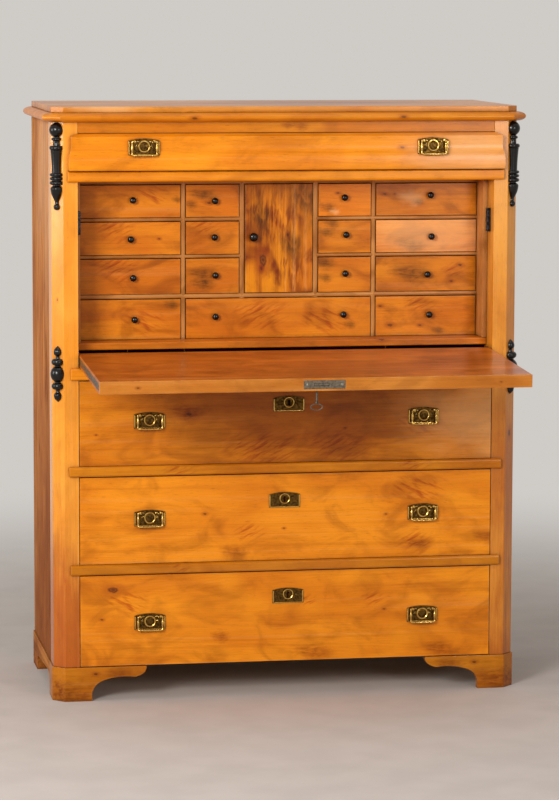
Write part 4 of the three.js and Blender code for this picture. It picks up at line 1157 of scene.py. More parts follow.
@dataclass
class Case(Assembly):
    """The case: sides, canted posts, back, top, cornice, rails and base."""

    side_boards: tuple[float, ...] = (0.0, 0.13, 0.3, 0.44, 0.63, 0.81, 1.0)
    back_boards: int = 6
    nose_radius: float = 5.5 * MM
    rail_depth: float = 60 * MM
    dust_board: float = 10 * MM
    cornice_projection: float = 19 * MM
    cornice_facets: int = 22
    stop_depth: Pair = (28 * MM, 40 * MM)
    stop_heights: Pair = (1021 * MM, 1073 * MM)
    stop_thickness: float = 9 * MM
    stud_hole: float = 5.3 * MM
    stud_depth: float = 14.3 * MM
    arm_pin: Triple = (40 * MM, 3 * MM, 8 * MM)
    arm_pin_rise: float = 11.42 * MM
    strap_slot: Pair = (9.8 * MM, 36 * MM)
    slot_reach: Pair = (3 * MM, 50 * MM)
    nose_overlaps: tuple[tuple[str, float], ...] = (
        ("rail_2", 22 * MM), ("rail_3", 19.5 * MM), ("writing_rail", 17.5 * MM), ("upper_rail", 22.5 * MM)
    )

    def build(self) -> None:
        """Builds sides, posts, back, top, rails, frieze and bottom."""
        for side in Side:
            self.build_side(side)
            self.build_post(side)
        self.build_back()
        self.build_top()
        for name, overlap in self.nose_overlaps:
            self.build_rail(name, overlap)
        low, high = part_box("frieze_rail")
        frieze = Solid.board(low, high, soft=0.5 * MM)
        # The frieze's tone of -0.22 is painted shade under the cornice.
        marks = Marks.on(low.y, -0.22, (), ((0.026, 1.256, 0.014), (-0.003, 1.257, 0.009)))
        self.fixed("frieze_board", CASE_PINE, [frieze], ["frieze_rail"], marks)
        low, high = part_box("bottom_board")
        board = self.lines.notched(low.y, low.z, high.z).softened(0.6 * MM).grown(Axis.X)
        self.fixed("bottom_boards", BARE_PINE, [board], ["bottom_board"])

    def build_side(self, side: Side) -> None:
        """Builds a side, glued up from upright boards."""
        node = f"side_{side.word}"
        low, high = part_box(node)
        depth = high.y - low.y
        boards = []
        for start, end in zip(self.side_boards, self.side_boards[1:]):
            near, far = low.y + start * depth, low.y + end * depth
            boards.append(Solid.board((low.x, near, low.z), (high.x, far, high.z), Axis.Z, 0.35 * MM))
        face = side.value * self.lines.half
        # The broad dark stain low on each side and the pale one near its top paint the light falling off down
        # the side: painted shade below and a painted sheen above, over the boards' own colour.
        stains = ((face, 0.15, 0.1, 0.4), (face, 0.1, 0.7, 0.05), (face, 0.12, 1.2, -0.2))
        marks = Marks(0.0, ((face, 0.27, 0.52, 6 * MM), (face, 0.13, 0.9, 4 * MM)), stains)
        self.fixed(f"side_boards_{side.word}", SIDE_PINE, boards, [node], marks)

    def build_post(self, side: Side) -> None:
        """Builds a canted post, bored for the flap's stud, with its irons."""
        lines, way = self.lines, side.value
        low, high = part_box(f"post_{side.word}")
        face, inner, outer = lines.front, lines.inner, lines.half
        plan = [(inner, face), (outer - lines.cant, face), (outer, face + lines.cant)]
        plan += [(outer, lines.post_back), (inner, lines.post_back)]
        post = Solid.prism([(way * x, y) for x, y in plan], Axis.Z, low.z, high.z).softened(0.9 * MM)
        flap_pivot = Flap.pivot(lines)
        bore = Solid.turned([(self.stud_hole, -MM), (self.stud_hole, self.stud_depth)], 24)
        post.less(bore.moved(put_at(way * inner, flap_pivot.y, flap_pivot.z) @ side.outward))
        cant, edge = face + 0.012, face + 0.02
        # The stains on each post are painted shade: darker towards the foot of its front, and over the lower
        # part of its cant, higher up on the right.
        marks = {
            Side.LEFT: Marks(
                0.03, ((-0.504, cant, 0.883, 0.002),), ((-0.47, face, -0.05, 0.24), (-0.512, edge, 0.2, 0.13))
            ),
            Side.RIGHT: Marks(
                -0.06, ((0.503, cant, 0.573, 0.005),), ((0.48, face, -0.05, 0.22), (0.512, edge, 0.45, 0.2))
            )
        }
        timber = [post.grown(Axis.Z)]
        self.fixed(f"canted_post_{side.word}", POST_PINE, timber, [f"post_{side.word}"], marks[side])
        self.build_irons(side, flap_pivot)

    def build_irons(self, side: Side, flap_pivot: Vector) -> None:
        """Builds the bar that stops the closed flap, and the pin that stops its strap's arm."""
        lines, way = self.lines, side.value
        edges = side.between(lines.inner - self.stop_thickness, lines.inner + MM)
        near, far = (lines.front + depth for depth in self.stop_depth)
        foot, head = self.stop_heights
        bar = Solid.board((edges[0], near, foot), (edges[1], far, head), soft=1.4 * MM)
        screws = []
        for height in (foot + 9 * MM, head - 9 * MM):
            at = put_at(way * (lines.inner - self.stop_thickness), (near + far) / 2, height)
            screws.append(Hardware(head_radius=2.6 * MM).screw(35).moved(at @ side.inward))
        self.fixed(f"stop_bar_{side.word}", DARK_IRON, [bar, *screws])
        setback, radius, reach = self.arm_pin
        pin = Hardware.pin(radius, 2 * reach)
        at = put_at(way * (lines.inner + reach), lines.front + setback, flap_pivot.z + self.arm_pin_rise)
        self.fixed(f"arm_pin_{side.word}", DARK_IRON, [pin.moved(at @ side.inward)])

    def build_back(self) -> None:
        """Builds the back of upright boards, with a board between the rear feet."""
        low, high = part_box("back_panel")
        joint_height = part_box("side_right")[0].z
        width = (high.x - low.x) / self.back_boards
        boards = []
        for i in range(self.back_boards):
            left = low.x + i * width
            corner = (left + 0.4 * MM, low.y, joint_height)
            boards.append(Solid.board(corner, (left + width - 0.4 * MM, high.y, high.z), Axis.Z, 1.6 * MM))
        inner_foot = -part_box("side_plinth_left")[1].x - self.lines.joint
        skirting = Solid.board((-inner_foot, low.y, low.z), (inner_foot, high.y, joint_height), Axis.X)
        knots = ((-0.3, 0.9, 0.012), (0.12, 0.5, 0.009), (0.35, 1.1, 0.01))
        marks = Marks.on(high.y, 0.0, knots, ((0.1, 0.1, 0.07), (-0.25, 1.2, 0.06)))
        self.fixed("back_boards", BARE_PINE, [*boards, skirting], ["back_panel"], marks)

    def build_top(self) -> None:
        """Builds the top board and the half-round cornice moulding under it."""
        low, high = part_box("top_board")
        top = Solid.prism(self.lines.plan(0, high.y), Axis.Z, low.z, high.z).softened(1.2 * MM).grown(Axis.X)
        stains = ((-0.4, low.y, low.z + 0.006, -0.05), (0.1, 0.2, high.z, 0.2))
        self.fixed("top_boards", TOP_PINE, [top], ["top_board"], Marks(0.0, (), stains))
        low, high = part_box("cornice_moulding")
        middle, rise = (low.z + high.z) / 2, (high.z - low.z) / 2
        bulge = arc((0, middle), (self.cornice_projection, rise), -90, 90, self.cornice_facets)
        profile = [(max(offset, self.lines.joint), z) for offset, z in bulge]
        levels = [[Vector((x, y, z)) for x, y in self.lines.plan(offset, high.y)] for offset, z in profile]
        stations = [[level[i] for level in levels] for i in range(len(levels[0]))]
        moulding = Solid.skin(stations).grown(Axis.X)
        marks = Marks.on(low.y, -0.17, ((-0.208, middle - 0.002, 0.004), (0.252, middle, 0.0035)))
        self.fixed("cornice", CASE_PINE, [moulding], ["cornice_moulding"], marks)

    def build_rail(self, node: str, overlap: float) -> None:
        """Builds a rail: its rounded nosing, the rail between the posts and the board behind it.

        Args:
            node: The frame's node for it.
            overlap: How far its nosing laps over each post.
        """
        lines = self.lines
        low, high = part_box(node)
        end = lines.inner + overlap
        front, seat, radius = low.y, lines.front - lines.joint, self.nose_radius
        outline = [(seat, low.z), (seat, high.z)]
        outline += arc((front + radius, high.z - radius), (radius, radius), 90, 180, 6)
        outline += arc((front + radius, low.z + radius), (radius, radius), 180, 270, 6)
        nosing = Solid.prism(outline, Axis.X, -end, end)
        nosing.softened(2.2 * MM, 3, lambda middle: abs(middle.x) > end - MM and middle.y < seat - 0.5 * MM)
        rail_back = lines.front + self.rail_depth
        narrow = lines.inner - lines.joint
        rail = Solid.board((-narrow, seat, low.z), (narrow, rail_back, high.z), soft=0.3 * MM)
        deep = self.dust_board if node != "upper_rail" else high.z - low.z
        board = lines.notched(rail_back, high.z - deep, high.z).grown(Axis.X)
        if node == "writing_rail":
            wide, deep = self.strap_slot
            near, far = (lines.front + reach for reach in self.slot_reach)
            for side in Side:
                left, right = side.between(lines.inner - wide, lines.inner + 5 * MM)
                foot = Flap.pivot(lines).z - deep
                rail.less(Solid.board((left, near, foot), (right, far, high.z + 5 * MM), soft=0))
        marks = {
            "rail_2": Marks.on(front, -0.3, (), (), ((0.285, 0.509, 0.03), (-0.24, 0.505, 0.03))),
            "rail_3": Marks.on(front, -0.36, (), (), ((-0.233, 0.291, 0.02),)), "writing_rail": Marks(-0.02),
            "upper_rail": Marks(-0.04)
        }
        solids = [nosing.grown(Axis.X), rail.grown(Axis.X), board]
        self.fixed(f"{node}_and_nosing", CASE_PINE, solids, [node], marks[node])


@dataclass
class Base(Assembly):
    """The base: front bracket feet with cusped wings, and side plinths with the rear feet."""

    board: float = 20 * MM
    foot_width: float = 85 * MM
    wing: float = 120 * MM
    rear_length: float = 87 * MM
    rear_width: float = 48 * MM
    curve_reach: float = 30 * MM
    wing_shares: Pairs = (
        (0, 0.25), (0.05, 0.42), (0.15, 0.56), (0.34, 0.66), (0.55, 0.7), (0.7, 0.695), (0.8, 0.685),
        (0.9, 0.74), (0.97, 0.82), (1.0, 0.92)
    )
    plinth_shares: Pairs = ((0, 0.3), (0.08, 0.62), (0.42, 0.9), (1, 1))

    def build(self) -> None:
        """Builds the four feet."""
        for side in Side:
            self.build_front(side)
            self.build_plinth(side)

    def build_front(self, side: Side) -> None:
        """Builds a front foot, canted at its corner, with its wing along the front."""
        node = f"foot_{side.word}"
        low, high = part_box(node)
        way, lines = side.value, self.lines
        outer = lines.half + lines.base_projection
        face = lines.front - lines.base_projection
        mitre = lines.base_projection * math.tan(math.pi / 8)
        inner, tip = outer - self.foot_width, outer - self.foot_width - self.wing
        plan = [
            (tip, face), (lines.half - lines.cant + mitre, face), (outer, lines.front + lines.cant - mitre),
            (outer, high.y), (outer - self.board, high.y), (outer - self.board, face + self.board),
            (tip, face + self.board)
        ]
        foot = Solid.prism([(way * x, y) for x, y in plan], Axis.Z, low.z, high.z)
        curve = [(inner - u * self.wing, v * high.z) for u, v in flowing(self.wing_shares, 5)]
        clear = [(tip - 5 * MM, -5 * MM), (inner, -5 * MM), *curve, (tip - 5 * MM, curve[-1][1])]
        cutter = Solid.prism([(way * x, z) for x, z in clear], Axis.Y, face - 5 * MM, high.y)
        foot.less(cutter).softened(0.9 * MM)
        x = way * (outer - 0.03)
        knots = ((way * 0.425, face, 0.06, 3 * MM),)
        stains = ((x, face, 0.01, 0.05), (x, 0.01, 0.03, 0.04), (way * 0.37, face, 0.055, 0.02))
        marks = Marks(-0.4, knots, stains)
        self.fixed(f"front_foot_{side.word}", CASE_PINE, [foot.grown(Axis.X)], [node], marks)

    def build_plinth(self, side: Side) -> None:
        """Builds a side plinth, arched between the feet, with the rear foot's block."""
        node = f"side_plinth_{side.word}"
        low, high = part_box(node)
        way, outer = side.value, self.lines.half + self.lines.base_projection
        rear = high.y - self.rear_length
        rise = [(low.y + u * self.curve_reach, v * 50 * MM) for u, v in flowing(self.plinth_shares, 5)]
        fall = [(rear - u * self.curve_reach, v * 37 * MM) for u, v in flowing(self.plinth_shares, 5)]
        outline = [(low.y, high.z), *rise, *reversed(fall), (rear, low.z), (high.y, low.z), (high.y, high.z)]
        edges = side.between(outer - self.board, outer)
        plinth = Solid.prism(outline, Axis.X, *edges).softened(0.9 * MM).grown(Axis.Y)
        left, right = side.between(outer - self.rear_width, outer - self.board)
        block = Solid.board((left, rear, low.z), (right, high.y, high.z), Axis.Z)
        marks = Marks(-0.05, (), ((way * outer, rear + 0.04, 0.02, 0.06),))
        self.fixed(f"side_plinth_and_foot_{side.word}", SIDE_PINE, [plinth, block], [node], marks)


class Turner:
    """Draws a turned profile from the foot up, in millimetres, as beads, hollows and tapers."""

    def __init__(self) -> None:
        """Starts at the foot."""
        self.points: Outline = []
        self.height = 0.0

    def bead(self, waist: float, radius: float, length: float, steps: int = 8) -> "Turner":
        """A round swelling between two waists."""
        for u, v in arc((0, 0.5), (1, 0.5), -90, 90, steps):
            self.points.append((waist + (radius - waist) * max(u, 0), self.height + v * length))
        self.height += length
        return self

    def ball(self, radius: float, length: float, start: float = -90, end: float = 90) -> "Turner":
        """A ball, or the part of one between two angles."""
        curve = arc((0, 0), (radius, 1), start, end, 12)
        first, last = curve[0][1], curve[-1][1]
        for r, v in curve:
            self.points.append((max(r, 0), self.height + (v - first) / (last - first) * length))
        self.height += length
        return self

    def taper(self, start: float, end: float, length: float, swell: float = 0.0) -> "Turner":
        """A shaft from one radius to another, swollen or hollowed between."""
        for i in range(9):
            t = i / 8
            self.points.append(
                (start + (end - start) * t + swell * math.sin(math.pi * t), self.height + t * length)
            )
        self.height += length
        return self

    def profile(self, length: float) -> Outline:
        """The radii and heights in metres, fitted to a length."""
        return [(r * MM, z * length / self.height) for r, z in self.points]


@dataclass
class Turnings(Assembly):
    """The black split turnings on the canted corners."""

    stand_off: float = 0.15 * MM
    girth: float = 1.07

    @staticmethod
    def upper() -> Turner:
        """The long turning: end ball, vase, three rings, shaft, ring, collar and ball."""
        turner = Turner().ball(7.4, 13.5, -90, 75).taper(5.0, 5.2, 7, -0.6)
        turner.taper(5.6, 13.4, 24, 1.6).ball(13.4, 6.5, 0, 55)
        turner.taper(8.2, 8.2, 1.5).bead(10, 15, 8.5).taper(9.4, 9.4, 1.2)
        turner.bead(10.5, 14.8, 7).taper(9.6, 9.6, 1).bead(10.5, 14.8, 7)
        turner.taper(10.2, 13, 47, -0.5).bead(11, 15.2, 9.5)
        turner.taper(8.2, 7.6, 10, -0.4).bead(7.6, 11, 6.5).taper(7, 7, 1.2)
        return turner.ball(15.4, 30, -68, 90)

    @staticmethod
    def lower() -> Turner:
        """The short turning, the same both ways: bud, neck, disc, ball, disc, neck, bud."""
        half = Turner().taper(0.5, 8.8, 13, 2.6).ball(8.8, 6, 0, 62)
        half.taper(4.4, 4.4, 5.5, -0.5).bead(6.5, 13.4, 13.5, 10).taper(6.2, 6.2, 1.6)
        ball = Turner().ball(15.6, 30.5, -66, 66)
        up = half.points
        whole = Turner()
        whole.points = [*up, *[(r, half.height + z) for r, z in ball.points]]
        total = 2 * half.height + ball.height
        whole.points += [(r, total - z) for r, z in reversed(up)]
        whole.height = total
        return whole

    def build(self) -> None:
        """Builds the four turnings."""
        lines = self.lines
        for side in Side:
            for word, turner in (("upper", self.upper()), ("lower", self.lower())):
                node = f"{word}_turning_{side.word}"
                low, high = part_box(node)
                profile = [(r * self.girth, z) for r, z in turner.profile(high.z - low.z)]
                half = Solid.turned(profile, 32, half=True)
                at = put_at(side.value * (lines.half - lines.cant / 2), lines.front + lines.cant / 2, low.z)
                turn = Matrix.Rotation(math.radians(45 * side.value), 4, "Z")
                placed = half.moved(at @ turn @ put_at(y=-self.stand_off))
                self.fixed(f"split_{node}", BLACK, [placed], [node])


@dataclass
class Brasses:
    """The brass pulls and escutcheons, in the style of their time, drawn on a face at Y = 0."""

    width: float = 68 * MM
    height: float = 36 * MM
    arch: float = 5 * MM
    thickness: float = 1.5 * MM
    rim_wire: float = 0.8 * MM
    rim_margin: float = 1.3 * MM
    bar_margin: float = 1.7 * MM
    ring_radius: float = 11.4 * MM
    ring_wire: float = 1.9 * MM
    ring_raise: float = 3.0 * MM
    eye_aside: float = 22.5 * MM
    leg_aside: float = 26.8 * MM
    pin_out: float = 9.5 * MM
    pin_raise: float = 14.5 * MM
    plate_top: float = 20.5 * MM
    pin_depth: float = 2.3 * MM
    drop: float = 30.5 * MM
    key_slot: Triple = (3.7 * MM, 2.2 * MM, 7.6 * MM)

    def outline(self, width: float, height: float) -> Outline:
        """A plate's outline, arched at its top.

        Args:
            width: The plate's width.
            height: Its height to the middle of the arch.

        Returns:
            Points from the lower left, round by the right.
        """
        half, high = width / 2, height / 2
        points = [(-half, -high), (half, -high)]
        for i in range(13):
            share = 1 - i / 6
            points.append((share * half, high - self.arch * share * share))
        return points

    def plate(self, width: float, height: float) -> Solid:
        """A plate with eased edges."""
        return Solid.prism(self.outline(width, height), Axis.Y, -self.thickness, 0).softened(0.5 * MM)

    def rim(self, width: float, height: float) -> list[Solid]:
        """The raised rim: thin along the foot, broader up the sides, and none at the top."""
        wire, margin, turn = self.rim_wire, self.rim_margin, 2 * MM
        low, high, half = margin - height / 2, height / 2 - self.arch - margin, width / 2 - margin
        corner = arc((half - turn, low + turn), (turn, turn), -90, 0, 4)
        path = [(-half, high), *[(-x, z) for x, z in reversed(corner)], *corner, (half, high)]
        rims = [Solid.tube([(x, -self.thickness, z) for x, z in path], [wire] * len(path), 8)]
        for way in (-1, 1):
            x = way * (width / 2 - self.bar_margin)
            line = [(x, -self.thickness, low + (high - low) * t) for t in (0.04, 0.1, 0.5, 0.9, 0.98)]
            rims.append(Solid.tube(line, [wire, 1.4 * MM, 1.6 * MM, 1.4 * MM, wire], 10))
        return rims

    def ring(self, radius: float, wire: float, height: float) -> Solid:
        """A raised ring round a middle at a height above the plate's own."""
        turns = [2 * math.pi * i / 32 for i in range(32)]
        path = [(radius * math.cos(t), -self.thickness - wire, height + radius * math.sin(t)) for t in turns]
        return Solid.tube(path, [wire] * len(path), 10, closed=True)

    def disc(self, radius: float, rise: float, height: float) -> Solid:
        """The low domed disc inside a ring."""
        profile = [(radius, 0), *arc((0, 0.4 * rise), (radius, 0.6 * rise), 0, 90, 6)]
        return Solid.turned(profile, 28).moved(put_at(0, -self.thickness, height) @ FRONTWARD)

    def bead(self, x: float, z: float, radius: float) -> Solid:
        """A small round bead on the plate."""
        dome = Solid.turned([(radius, 0), *arc((0, 0), (radius, radius), 10, 90, 5)], 14)
        return dome.moved(put_at(x, -self.thickness, z) @ FRONTWARD)

    def leaf(self, way: int, points: Sequence[tuple[float, float]], thick: float) -> Solid:
        """A curled leaf that swells and tapers along its points."""
        curve = flowing([(way * x * MM, -self.thickness - 0.5 * MM, z * MM) for x, z in points], 5)
        last = len(curve) - 1
        radii = [
            thick * (0.25 + 0.75 * math.sin(math.pi * min(i / last + 0.18, 1.0)) ** 0.8) for i
            in range(last + 1)
        ]
        return Solid.tube(curve, radii, 8)

    def pull(self) -> tuple[list[Solid], list[Solid]]:
        """A pull's plate without its bail.

        Returns:
            Its dark ground, and the bright work that stands up from it.
        """
        lowered = put_at(z=self.plate_top - self.height / 2)
        ground = [self.plate(self.width, self.height).moved(lowered)]
        ground.append(self.disc(self.ring_radius - 1.2 * MM, 2.0 * MM, self.ring_raise))
        bright = [solid.moved(lowered) for solid in self.rim(self.width, self.height)]
        bright.append(self.ring(self.ring_radius, self.ring_wire, self.ring_raise))
        for way in (-1, 1):
            bright.append(self.leaf(way, [(12, 13), (15, 14), (18, 13.2), (19.4, 11)], 1.1 * MM))
            bright.append(self.leaf(way, [(14.5, 3), (16.5, 4.6), (18.2, 3.6), (18.2, 1)], 0.9 * MM))
            bright += [
                self.bead(way * 19.2 * MM, 11.6 * MM, 2.3 * MM),
                self.bead(way * 15.6 * MM, 6.4 * MM, 1.3 * MM)
            ]
            ground.append(self.leaf(way, [(13, -6), (16.8, -6.6), (19.6, -9), (17.4, -10.6)], 1.1 * MM))
            bright.append(self.eye(way))
        return ground, bright

    def eye(self, way: int) -> Solid:
        """An eye that holds an end of the bail's pin."""
        x, z = way * self.eye_aside, self.pin_raise
        path = [
            (x, -self.thickness + 0.4 * MM, z), (x, -0.5 * self.pin_out, z), (x, -self.pin_out - 2.4 * MM, z)
        ]
        return Solid.tube(path, [2.8 * MM, 2.2 * MM, 2.6 * MM], 12).softened(0.7 * MM)

    def bail(self) -> Solid:
        """A bail: pins, legs that swell in their middles, and a bar with a bead at each end.

        Its stations, from a pin to the bar's middle, are X, Z and the radius there in millimetres.
        """
        leg, drop = self.leg_aside / MM, self.drop / MM
        stations = [
            (2 - self.eye_aside / MM, 0, 1.4), (2 - leg, 0, 1.5), (0.3 - leg, -0.8, 1.9), (-leg, -3, 1.9),
            (-leg, -7, 1.5), (-leg, -12, 2.5), (-leg, -16, 2.8), (-leg, -20, 2.4), (-leg, -24, 1.7),
            (-leg, 3 - drop, 2.1), (1.2 - leg, 0.8 - drop, 2.4), (3.2 - leg, -drop, 2.3), (-19.5, -drop, 1.8),
            (-18.4, -drop, 3), (-17, -drop, 3.1), (-16, -drop, 2), (-14.5, -drop, 2.5), (0, -drop, 2.8)
        ]
        half = flowing(stations, 3)
        whole = [*half, *[(-x, z, r) for x, z, r in reversed(half[:-1])]]
        return Solid.tube([(x * MM, 0, z * MM) for x, z, _ in whole], [r * MM for _, _, r in whole], 12)

    def keyhole(self, deep: float, height: float) -> list[Solid]:
        """The two cutters of a keyhole, a bore and its slot, through to a depth."""
        radius, half, drop = self.key_slot
        bore = Solid.turned(
            [(radius, -deep), (radius, 12 * MM)], 20
        ).moved(put_at(z=height + 2 * MM) @ FRONTWARD)
        slot = Solid.board((-half, -12 * MM, height - drop), (half, deep, height), soft=0)
        return [bore, slot]

    def escutcheon(self, width: float, height: float) -> tuple[list[Solid], list[Solid]]:
        """An escutcheon.

        Args:
            width: Its plate's width.
            height: Its plate's height.

        Returns:
            Its dark ground, and the bright work that stands up from it.
        """
        ground = [self.plate(width, height).less(*self.keyhole(2 * MM, self.ring_raise))]
        disc = self.disc(self.ring_radius - 2.2 * MM, 1.6 * MM, self.ring_raise)
        ground.append(disc.less(*self.keyhole(2 * MM, self.ring_raise)))
        bright = self.rim(width, height)
        bright.append(self.ring(self.ring_radius - 0.8 * MM, 1.4 * MM, self.ring_raise))
        for way in (-1, 1):
            for level in (1.6, 4.4):
                ground.append(self.leaf(way, [(12, level), (16, level), (22, level), (27, level)], 1.5 * MM))
        return ground, bright


@dataclass(frozen=True)
class DrawerBox:
    """How a drawer's box is made: its boards' thicknesses, and how they meet."""

    wall: float = 10 * MM
    floor: float = 8 * MM
    floor_rise: float = 2 * MM
    back_drop: float = 4 * MM
    lap: float = 0.0
    soft: float = 0.8 * MM

    def boards(self, low: Point, high: Point) -> list[Solid]:
        """The drawer's sides, back and bottom.

        Args:
            low: The box's lowest corner, behind the drawer's front.
            high: Its highest corner.

        Returns:
            The four boards.
        """
        (left, front, foot), (right, back, top) = low, high
        inner_left, inner_right, floor = left + self.wall, right - self.wall, foot + self.floor
        made = []
        for start, end in ((left, inner_left), (inner_right, right)):
            made.append(Solid.board((start, front, foot), (end, back, top), Axis.Y, self.soft))
        start, end = inner_left - self.lap, inner_right + self.lap
        corner = (end, back, top - self.back_drop)
        made.append(Solid.board((start, back - self.wall, floor), corner, Axis.X, self.soft))
        corner = (start, front, foot + self.floor_rise)
        made.append(Solid.board(corner, (end, back, floor), Axis.X, 0.3 * MM))
        return made


@dataclass
class LargeDrawer(Assembly):
    """A large drawer: its front, its box, drawn without dovetails, two pulls and an escutcheon."""

    name: str
    lock_share: float = 0.0
    lock_aside: float = 0.0
    marks: Marks = Marks()
    front_thickness: float = 20 * MM
    box_inset: float = 8 * MM
    box_lowering: float = 14 * MM
    escutcheon_size: Pair = (69 * MM, 34 * MM)

    @property
    def body(self) -> str:
        """The body that the drawer rides on."""
        return f"{self.name}_body"

    def build(self) -> None:
        """Builds the drawer with its brasses."""
        low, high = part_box(self.name)
        face, inner = self.lines.front, self.lines.front + self.front_thickness
        brasses = Brasses()
        lock = put_at(self.lock_aside, face, low.z + self.lock_share * (high.z - low.z))
        front = Solid.board((low.x, face, low.z), (high.x, inner, high.z), Axis.X, 0.9 * MM)
        for cutter in brasses.keyhole(14 * MM, brasses.ring_raise):
            front.less(cutter.moved(lock))
        self.bench.piece(f"{self.name}_front", self.body, DRAWER_PINE, [front], [self.name], self.marks)
        self.bench.piece(f"{self.name}_box", self.body, BARE_PINE, self.box_solids(low, high, inner))
        ground, bright = brasses.escutcheon(*self.escutcheon_size)
        self.fix(f"{self.name}_escutcheon", ground, bright, lock)
        for side in Side:
            self.build_pull(side, brasses, face)

    def box_solids(self, low: Vector, high: Vector, inner: float) -> list[Solid]:
        """The drawer's sides, back and bottom."""
        half = high.x - self.box_inset
        foot, top = low.z + 0.4 * MM, high.z - self.box_lowering
        if self.name == "drawer_3":
            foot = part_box("bottom_board")[1].z + 0.3 * MM
        return DrawerBox().boards((-half, inner, foot), (half, high.y, top))

    def fix(self, name: str, ground: list[Solid], bright: list[Solid], place: Matrix) -> None:
        """Fixes a brass to the drawer, its dark ground and bright work as two pieces."""
        self.bench.piece(f"{name}_ground", self.body, DARK_BRASS, [s.moved(place) for s in ground])
        self.bench.piece(f"{name}_relief", self.body, BRASS, [s.moved(place) for s in bright])

    def build_pull(self, side: Side, brasses: Brasses, face: float) -> None:
        """Builds one pull, its plate on the drawer and its bail on its own body."""
        node = f"{self.name}_bail_{side.word}"
        low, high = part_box(node)
        pins = Vector(((low.x + high.x) / 2, (low.y + high.y) / 2, high.z - brasses.pin_depth))
        ground, bright = brasses.pull()
        place = put_at(pins.x, face, pins.z - brasses.pin_raise)
        self.fix(f"{self.name}_pull_{side.word}", ground, bright, place)
        bail = brasses.bail().moved(put_at(*pins))
        self.bench.piece(f"{self.name}_handle_{side.word}", f"{node}_body", BRASS, [bail], [node])


@dataclass
class TopDrawer(LargeDrawer):
    """The drawer under the cornice, whose ogee front laps over the posts."""

    lap: float = 21 * MM
    projection: float = 18 * MM
    pull_seat: float = 17 * MM
    mould_shares: Pairs = (
        (0.0, 0.88), (0.03, 0.97), (0.1, 1.0), (0.2, 1.0), (0.3, 0.985), (0.42, 0.92), (0.52, 0.81),
        (0.62, 0.745), (0.76, 0.75), (0.9, 0.76), (0.92, 0.72), (0.97, 0.32), (1.0, 0.05)
    )

    def build(self) -> None:
        """Builds the drawer with its moulded front and its two pulls."""
        low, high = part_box(self.name)
        lines, inner = self.lines, self.lines.front + self.front_thickness
        seat = lines.front - lines.joint
        rings = []
        for up, out in flowing(self.mould_shares, 3):
            z = low.z + up * (high.z - low.z)
            half, face = lines.inner + out * self.lap, seat - out * self.projection
            rings.append([(-half, seat, z), (-half, face, z), (half, face, z), (half, seat, z)])
        mould = Solid.skin(rings).grown(Axis.X)
        narrow = lines.inner - 1.2 * MM
        front = Solid.board((-narrow, seat, low.z), (narrow, inner, high.z), Axis.X, 0.5 * MM)
        self.bench.piece("top_drawer_front", self.body, CASE_PINE, [mould, front], [self.name], self.marks)
        boxed_high = Vector((narrow, high.y, high.z))
        self.bench.piece("top_drawer_box", self.body, BARE_PINE, self.box_solids(low, boxed_high, inner))
        brasses = Brasses()
        face = seat + lines.joint - self.pull_seat
        pads = []
        for side in Side:
            bail_low, bail_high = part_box(f"{self.name}_bail_{side.word}")
            x, z = (bail_low.x + bail_high.x) / 2, bail_high.z - brasses.pin_depth - brasses.pin_raise
            pad = Solid.prism(brasses.outline(brasses.width, brasses.height), Axis.Y, 0, self.pull_seat)
            pads.append(pad.moved(put_at(x, face, z + brasses.plate_top - brasses.height / 2)).grown(Axis.X))
            self.build_pull(side, brasses, face)
        self.bench.piece("top_drawer_pads", self.body, CASE_PINE, pads)


@dataclass
class Knobs:
    """Black turned knobs."""

    radius: float = 7.4 * MM
    length_share: float = 2.1
    shares: Pairs = (
        (0.62, 0.0), (0.6, 0.06), (0.42, 0.14), (0.38, 0.26), (0.5, 0.36), (0.8, 0.46), (0.98, 0.58),
        (1.0, 0.68), (0.93, 0.8), (0.74, 0.9), (0.4, 0.97), (0.0, 1.0)
    )

    def knob(self, place: Vector) -> Solid:
        """A knob that stands out to the front from a place."""
        length = self.radius * self.length_share
        profile = [(max(r, 0) * self.radius, z * length) for r, z in flowing(self.shares, 2)]
        return Solid.turned(profile, 24).moved(put_at(*place) @ FRONTWARD)


